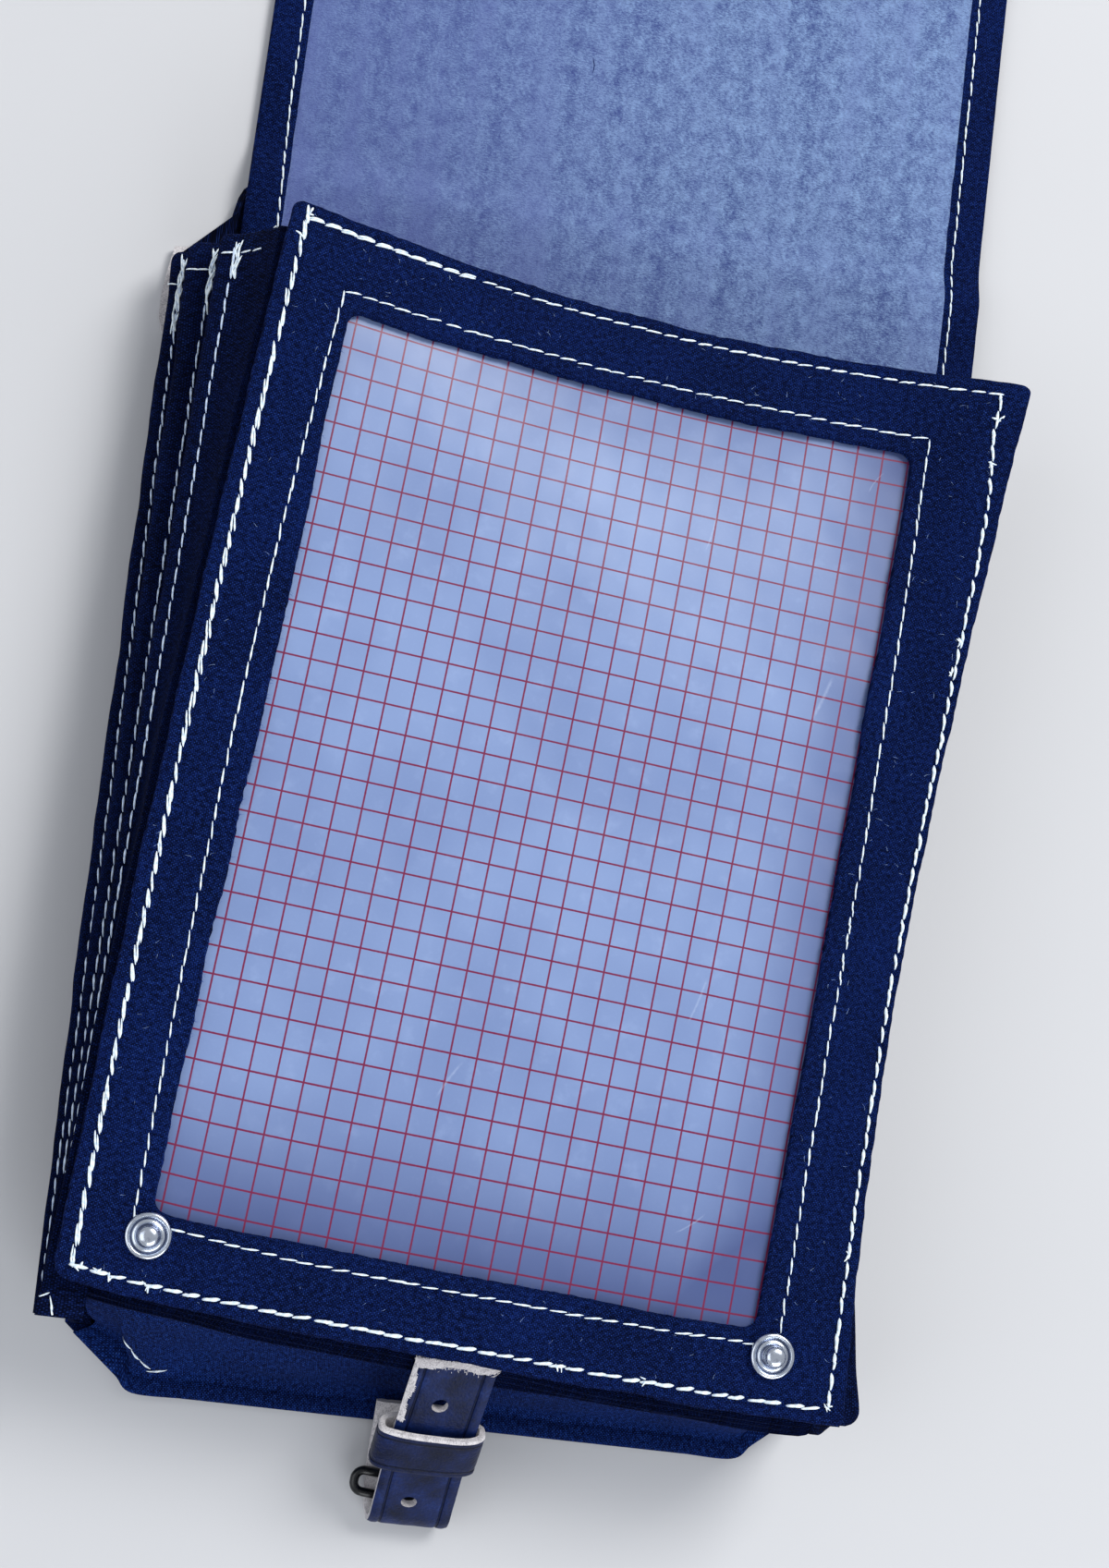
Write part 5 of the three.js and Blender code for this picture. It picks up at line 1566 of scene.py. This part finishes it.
def stitch_row(
        name, path, trees, width=0.75, pitch=STITCH_PITCH, slant=0.35, plies=1, seed=1,
        finish=white_thread, up=(0, 0, 1), proud=0.42, shown=0.97, wild=0.06, tip=0.62, reach=6.0):
    """Stitches along a path of points, each settled on the cloth."""
    dice = np.random.default_rng(seed)
    path = np.asarray(path, float)
    run = run_of(path)
    count = max(int(round(run[-1] / pitch)), 1)
    pitch = run[-1] / count
    t = np.linspace(0, 1, STITCH_RINGS)
    swell = np.sin(np.pi * np.clip(t, 0.02, 0.98)) ** tip
    centres, sides, ups, radii = [], [], [], []
    starts = (np.arange(count) + dice.uniform(-0.06, 0.06, count)) * pitch
    for start in starts:
        long = pitch * shown * dice.uniform(0.9, 1.08)
        along = np.clip(start + (pitch - long) / 2 + t * long, 0, run[-1])
        at = at_run(along, run, path)
        base, normal = settle(at, trees, up, reach)
        way = unit(np.gradient(at, axis=0))
        side = unit(np.cross(normal, way))
        for ply in range(plies):
            lean = slant * dice.uniform(0.4, 1.5)
            apart = (ply - (plies - 1) / 2) * width * 0.62
            sunk = 0.3 * (1 - swell) ** 3
            bulge = width * (proud * swell - sunk) + abs(dice.normal(0, wild)) * swell
            aside = apart * (0.55 + 0.6 * swell) + lean * (t - 0.5) + dice.normal(0, wild)
            shifted = base + way * dice.normal(0, wild) * 4
            centres.append(shifted + side * aside[:, None] + normal * bulge[:, None])
            sides.append(side)
            ups.append(normal)
            radii.append(width * (0.5 if plies == 1 else 0.42) * dice.uniform(0.85, 1.15) * swell)
    return thread_mesh(name, *map(np.array, (centres, sides, ups, radii)), finish)


# %% Stitches of the window panel
panel_cloth = cloth_below([window_frame])
side_v = np.linspace(-OUTER_END - 0.5, 140.4, 240)
v = np.linspace(-OUTER_END, OUTER_END, 240)
u = np.linspace(OUTER_SIDE_LEFT, 95.5, 180)
inner_v = np.linspace(INNER_FOOT, INNER_TOP, 220)
mouth_u, foot_u = np.linspace(-84.6, 78.4, 160), np.linspace(-85.9, 81.5, 160)
panel_rows = {
    "outer_stitches_left": (OUTER_SIDE_LEFT, side_v[::-1], 0.76, 101, {
        "plies": 2, "slant": 0.9, "shown": 1.12, "wild": 0.1}),
    "outer_stitches_right": (outer_right(v), v, 0.92, 102, {
        "slant": 0.5, "shown": 0.98, "wild": 0.09, "tip": 0.5}),
    "outer_stitches_foot": (u, -OUTER_END, 0.94, 103, {
        "slant": 0.6, "shown": 1.0, "wild": 0.08, "tip": 0.45}),
    "outer_stitches_mouth": (u[u < -50], OUTER_END, 0.78, 104, {
        "plies": 2, "slant": 0.6, "shown": 1.05}),
    "outer_stitches_mouth_right": (u[u >= -50], OUTER_END, 0.66, 114, {"slant": 0.5}),
    "inner_stitches_left": (inner_left(inner_v)[::-1], inner_v[::-1], 0.54, 105, {"slant": 0.5}),
    "inner_stitches_right": (inner_right(inner_v), inner_v, 0.54, 106, {"slant": 0.5}),
    "inner_stitches_mouth": (mouth_u, INNER_TOP, 0.54, 107, {"slant": 0.5}),
    "inner_stitches_foot": (foot_u, inner_foot(foot_u), 0.56, 108, {"slant": 0.5}),
}
for name, (u, v, width, seed, looks) in panel_rows.items():
    stitch_row(name, front_point(u, v, 0), panel_cloth, width, seed=seed, **looks)

# %% Stitches of the ridges, the flap and the bottom seam
for label, side in SIDES.items():
    cloth = cloth_below([side_pieces[label]])
    for index, sewn_from in enumerate(side["sewn_from"]):
        path = ridge_line(side, index, np.linspace(sewn_from, 0.985, 150), side["sewn_aside"])
        stitch_row(
            f"ridge_stitches_{label}_{index + 1}", path, cloth, 0.6, seed=120 + index,
            slant=0.45, finish=shaded_thread, up=(side["sign"] * 0.25, 0, 1), reach=side["reach"])

flap_cloth_below = cloth_below([flap_piece])
edge = HEM_STITCH - 0.6
turn_y = FLAP_END - FLAP_CORNER
side_starts = {"left": (-1, 10.4, SHOULDER_Y - 4, 131), "right": (1, 8.9, SHOULDER_Y + 1, 132)}
for label, (sign, start_in, start_y, seed) in side_starts.items():
    x = sign * (FLAP_HALF - edge)
    path = [(sign * (FLAP_HALF - start_in), start_y, 5), (x, BACK_LENGTH + 30, 3), (x, turn_y, 3)]
    stitch_row("flap_stitches_" + label, line(path), flap_cloth_below, 0.56, seed=seed)
turn = np.linspace(0, np.pi / 2, 30)
bend = FLAP_CORNER - edge
right_turn = stacked(
    FLAP_HALF - FLAP_CORNER + bend * np.cos(turn), turn_y + bend * np.sin(turn), 3)
end_path = np.concatenate([right_turn, (right_turn * [-1, 1, 1])[::-1]])
stitch_row("flap_stitches_end", line(end_path), flap_cloth_below, 0.56, seed=133)

# %% [markdown]
# ## Hand-sewn ends
#
# Where a seam ends, the sewer goes over the same few holes again, so the tops of the ridges
# carry thick bars of thread. Short rows hold the pocket hems, and here and there a knot or a
# crossed stitch stands on the panel.

# %% Bars, hems and knots
def stitches_on(name, points, pieces, **looks):
    return stitch_row(name, line(points, 0.5), cloth_below(pieces), **looks)


left_gusset = side_pieces["left"]
bars = [(0.915, 1.1, (150, 151)), (0.935, 0.7, (152, 153)), (0.955, 0.1, (154, 155))]
for index, (low, aside, seeds) in enumerate(bars):
    path = ridge_line(LEFT, index, np.linspace(low, 0.993, 20), aside)
    for layer, (lean, seed) in enumerate(zip((1.2, -1.4), seeds)):
        stitches_on(
            f"ridge_bar_{index + 1}_{layer + 1}", path, [left_gusset],
            width=0.72, plies=2, pitch=5.6, slant=lean, shown=1.15, wild=0.22, seed=seed)
hems = {
    "first": (165, [(-126.2, 296.4, 15), (-121.6, 295.8, 15)]),
    "second": (166, [(-120.4, 297.9, 26), (-112.8, 298.0, 26)]),
    "third": (165, [(-110.9, 300.3, 37), (-97.0, 301.5, 37)]),
    "root": (164, [(-98.8, 306.2, 41), (-95.4, 306.4, 41)]),
    "tab": (163, [(-115.3, 26.8, 43), (-113.7, 19.5, 43)]),
    "tab_side": (168, [(-118.4, 25.1, 43), (-115.2, 26.3, 43)]),
}
for label, (seed, points) in hems.items():
    stitches_on(
        "hem_stitches_" + label, points, [left_gusset],
        width=0.52, seed=seed, slant=0.3, pitch=3.6, wild=0.1)
folds = {
    "chamfer": (177, [(-95.4, 15.2, 14), (-91.0, 10.2, 9), (-86.8, 6.9, 6)]),
    "rim": (173, [(-87.9, 6.6, 6), (-82.0, 7.4, 6)]),
}
for label, (seed, points) in folds.items():
    stitches_on(
        "fold_stitches_" + label, points, [bottom_piece], width=0.5, seed=seed, slant=0.4)

# %% Knots and crossed stitches
# Each knot lists its place on the panel and how many short threads it has.
knots = [
    (-96.5, -136.6, 2), (-92.0, -137.2, 2), (-88.5, -137.4, 2), (-79.5, -137.4, 3),
    (95.4, 129.5, 2), (96.6, 117.5, 3), (98.6, 67.0, 4), (98.4, 58.0, 2), (98.2, -98.0, 2),
    (97.7, -136.4, 3), (25.4, -138.0, 2), (48.0, -137.6, 3), (-98.5, 132.0, 2),
    (-98.2, 138.6, 2),
]


def knot_mesh(name, spots, trees, seed):
    dice = np.random.default_rng(seed)
    t = np.linspace(-0.5, 0.5, STITCH_RINGS)
    centres, sides, ups, radii = [], [], [], []
    for u, v, count in spots:
        for _ in range(count):
            angle, long = dice.uniform(0, np.pi), dice.uniform(1.4, 2.7)
            du, dv = dice.normal(0, 0.5, 2)
            bend = dice.uniform(-0.8, 0.8) * (0.25 - t * t)
            c, s = np.cos(angle), np.sin(angle)
            across, along = long * t * c - bend * s, long * t * s + bend * c
            at = front_point(u + du + across, v + dv + along, 0)
            base, normal = settle(at, trees)
            side = unit(np.cross(normal, unit(np.gradient(at, axis=0))))
            lift = dice.uniform(0.3, 0.75) * (1 - 3 * t * t)
            centres.append(base + normal * lift[:, None])
            sides.append(side)
            ups.append(normal)
            radii.append(dice.uniform(0.2, 0.32) * (1 - 2.6 * t * t))
    return thread_mesh(name, *map(np.array, (centres, sides, ups, radii)), white_thread)


knot_mesh("thread_knots", knots, panel_cloth, 181)

# %% [markdown]
# ## Fibres
#
# Old cloth sheds: pale hairs lie on the canvas, the window's cut edge is a little frayed, and
# raw leather ends in a fringe of fibres. Each one is a thin tapering thread.

# %% Loose fibres
def fibre_mesh(name, roots, ways, ups, lengths, thick, finish, seed, curl=0.35, slot="canvas"):
    dice = np.random.default_rng(seed)
    count, rings = len(roots), 6
    t = np.linspace(0, 1, rings)
    side = unit(np.cross(ways, ups))
    bend = dice.normal(0, curl, (count, 1)) * lengths[:, None]
    lift = dice.uniform(0, 0.12, (count, 1)) * lengths[:, None]
    centres = roots[:, None] + ways[:, None] * (lengths[:, None] * t)[..., None]
    centres += side[:, None] * (bend * t * t)[..., None]
    centres += ups[:, None] * (lift * np.sin(np.pi * t))[..., None]
    radii = thick * (1 - 0.7 * t)[None] * dice.uniform(0.6, 1.2, (count, 1))
    angle = np.arange(3) * 2 * np.pi / 3
    ring = np.cos(angle)[:, None] * side[:, None, None]
    ring = ring + np.sin(angle)[:, None] * ups[:, None, None]
    points = centres[:, :, None] + ring * radii[..., None, None]
    faces = []
    for i in range(count):
        first = i * rings * 3
        quads, _ = tube_parts(points[i], False, first)
        faces += [*quads, first + np.arange(3), first + (rings - 1) * 3 + np.arange(3)]
    cloth = np.zeros((sum(map(len, faces)), 2))
    return build(name, points.reshape(-1, 3), faces, cloth, [finish])


def plain_finish(name, colour):
    fibre = Finish(name, Roughness=0.9, Specular_IOR_Level=0.1)
    return fibre.paint(Base_Color=colour)


pale_fibre = plain_finish("pale_fibre", dye(150, 176, 220))
blue_fibre = plain_finish("blue_fibre", dye(34, 66, 140))
leather_fibre = plain_finish("leather_fibre", dye(232, 228, 230))

dice = np.random.default_rng(191)
u, v = dice.uniform(-101, 101, 700), dice.uniform(-139, 139, 700)
on_border = (u < -85) | (u > 77) | (v > 119) | (v < -122)
u, v = u[on_border][:190], v[on_border][:190]
base, normal = settle(front_point(u, v, 0), panel_cloth)
angle = dice.uniform(0, 2 * np.pi, len(u))
ways = stacked(np.cos(angle), np.sin(angle), 0)
ways = unit(ways - normal * (ways * normal).sum(axis=1, keepdims=True))
lengths = dice.uniform(0.5, 1.8, len(u))
fibre_mesh("lint_on_canvas", base + normal * 0.06, ways, normal, lengths, 0.045, pale_fibre, 192)

picked = dice.integers(0, len(window_ring), 520)
edge_at = window_ring[picked]
roots = front_point(*edge_at.T, 0.9)
inward = front_point(*(edge_at * 0.96).T, 0.9) - roots
angle = dice.normal(0, 0.7, len(picked))
ways = unit(inward)
beside = stacked(-ways[:, 1], ways[:, 0], 0)
ways = unit(ways + beside * angle[:, None] - [0, 0, 0.35])
up = np.tile([0.0, 0.0, 1.0], (len(picked), 1))
lengths = dice.uniform(0.5, 1.5, len(picked))
fibre_mesh("frayed_window_edge", roots - ways * 0.2, ways, up, lengths, 0.05, blue_fibre, 193)


# %% Fringes of raw leather
def strap_fringe(count, seed):
    dice = np.random.default_rng(seed)
    aside = dice.uniform(-STRAP_WIDTH / 2, STRAP_WIDTH / 2, count)
    back = np.abs(dice.normal(0, 1.1, count))
    along = STRAP_LENGTH - 0.4 - back
    roots = on_strap(along, aside, LEATHER_WALL / 2 - 0.1)
    face = unit(on_strap(along, aside, LEATHER_WALL / 2 + 1) - roots)
    way = unit(on_strap(along, aside, 0) - on_strap(along - 1, aside, 0))
    turn = stacked(dice.normal(0, 0.6, count), 0, 0)
    ways = unit(way + turn + face * dice.uniform(-0.1, 0.5, (count, 1)))
    return roots, ways, face, dice.uniform(0.5, 1.6, count)


roots, ways, ups, lengths = strap_fringe(900, 195)
fringe = {"finish": leather_fibre, "slot": "raw_leather"}
fibre_mesh("strap_end_fringe", roots, ways, ups, lengths, 0.11, seed=196, **fringe)

dice = np.random.default_rng(197)
rim_rows = keeper_rows[:, KEEPER_OUTER - 1:KEEPER_OUTER + 3]
picked = dice.integers(0, len(rim_rows), 420)
mix = dice.uniform(0, 1, (420, 1))
roots = lerp(rim_rows[picked, 0], rim_rows[picked, 2], mix)
keeper_way = unit(rim_rows[:, 0] - keeper_rows[:, 0])[picked]
ways = unit(keeper_way + dice.normal(0, 0.45, (420, 3)))
side = unit(np.cross(keeper_way, [1.0, 0.2, 0]))
lengths, roots = dice.uniform(0.25, 0.8, 420), roots - keeper_way * 0.1
fibre_mesh("keeper_rim_fringe", roots, ways, side, lengths, 0.08, seed=198, **fringe)

# %% A dark mark on the lining
mark_finish = plain_finish("dark_mark", dye(24, 36, 92))
mark = line([(-14.9, 389.0, 4), (-14.2, 386.4, 4), (-14.5, 383.8, 4)], 0.4)
stitch_row(
    "dark_mark_on_lining", mark, cloth_below([lining_piece]), width=0.3, pitch=5.2,
    finish=mark_finish, proud=0.1, seed=199)

# %% [markdown]
# ## Floor, light and camera
#
# A pale table and wide soft lamps, so that the canvas keeps its depth of colour and the metal
# has something bright to reflect. The camera stands where the photographer stood.

# %% Floor and lamps
def floor_finish():
    paper = Finish("pale_table", Roughness=0.8, Specular_IOR_Level=0.2)
    place = paper.node("ShaderNodeTexCoord", None, None, 3)
    mottle = paper.noise(place, 3.0, 3.0)
    colour = paper.blend(mottle, dye(192, 193, 196), dye(202, 203, 206))
    return paper.paint(Base_Color=colour)


floor_mesh = bpy.data.meshes.new("pale_floor")
FLOOR_HALF, FLOOR_DROP = 6.0, 0.0004
corners = [(-1, -1), (1, -1), (1, 1), (-1, 1)]
corners = [(x * FLOOR_HALF, y * FLOOR_HALF, -FLOOR_DROP) for x, y in corners]
floor_mesh.from_pydata(corners, [], [(0, 1, 2, 3)])
floor_mesh.materials.append(floor_finish())
floor_piece = bpy.data.objects.new("pale_floor", floor_mesh)
bpy.context.scene.collection.objects.link(floor_piece)

# Each lamp lists its place and width in metres, its watts and its tint.
lamps = {
    "window_light": ((0.9, 0.9, 1.6), 0.9, 36, (1.0, 0.99, 0.97)),
    "side_light": ((-1.3, -0.4, 1.3), 1.6, 9, (0.93, 0.96, 1.0)),
    "foot_light": ((0.5, -1.4, 0.8), 1.2, 13, (0.95, 0.98, 1.0)),
}
for name, (place, width, watts, tint) in lamps.items():
    data = bpy.data.lights.new(name, "AREA")
    data.energy, data.size, data.color = watts, width, tint
    made = bpy.data.objects.new(name, data)
    made.location = place
    made.rotation_euler = (-Vector(place)).to_track_quat("-Z", "Y").to_euler()
    bpy.context.scene.collection.objects.link(made)
    print(name, watts, "W,", width, "m wide")

sky = bpy.data.worlds.new("studio")
sky.use_nodes = True
sky.node_tree.nodes["Background"].inputs[0].default_value = (0.9, 0.93, 1.0, 1.0)
sky.node_tree.nodes["Background"].inputs[1].default_value = 0.45
bpy.context.scene.world = sky
bpy.context.scene.view_settings.view_transform = "Standard"

# %% The camera
CAMERA_AT = np.array([-112.71, 71.12, 706.47])
CAMERA_WAY = np.array([0.15733, 0.14706, -0.97654])
CAMERA_UP = np.array([-0.14692, 0.98133, 0.12411])
CAMERA_SIDE = np.array([0.97656, 0.12395, 0.17600])
FOCAL_PIXELS, PICTURE_HEIGHT, SENSOR = 2800, 1697, 36.0
camera_data = bpy.data.cameras.new("photo_camera")
camera_data.sensor_width = SENSOR
camera_data.lens = SENSOR * FOCAL_PIXELS / PICTURE_HEIGHT
camera_data.clip_start, camera_data.clip_end = 0.01, 50
camera = bpy.data.objects.new("photo_camera", camera_data)
axes = np.stack([CAMERA_SIDE, CAMERA_UP, -CAMERA_WAY], axis=1)
turned_to = Matrix(axes.tolist()).to_4x4()
turned_to.translation = Vector(placed(CAMERA_AT).tolist())
camera.matrix_world = turned_to
bpy.context.scene.collection.objects.link(camera)
bpy.context.scene.camera = camera
print("camera lens", round(camera_data.lens, 1), "mm on a", SENSOR, "mm sensor")

# %% Cloth sizes
def cut_size(width, length):
    return (width * MM, length * MM)


def folded_size(piece, length):
    """The cloth of a folded piece, cut flat: half of all the surface that it shows."""
    area = sum(face.area for face in piece.data.polygons) / 2 / MM / MM
    print(piece.name, "cut", round(area / length, 1), "by", length, "mm")
    return cut_size(area / length, length)


cut_size(205, 282)
cut_size(214.5, 378)
for label in ("rear", "middle", "front"):
    pocket = bpy.data.objects["canvas_pocket_" + label]
    folded_size(pocket, 285)
for piece, length in ((side_pieces["left"], 290), (side_pieces["right"], 290), (bottom_piece, 200)):
    folded_size(piece, length)
strap_cut = folded_size(strap_piece, round(float(STRAP_LENGTH)))
cut_size(172, 252)
cut_size(203, 280)
cut_size(208, 330)
cut_size(192, 366)
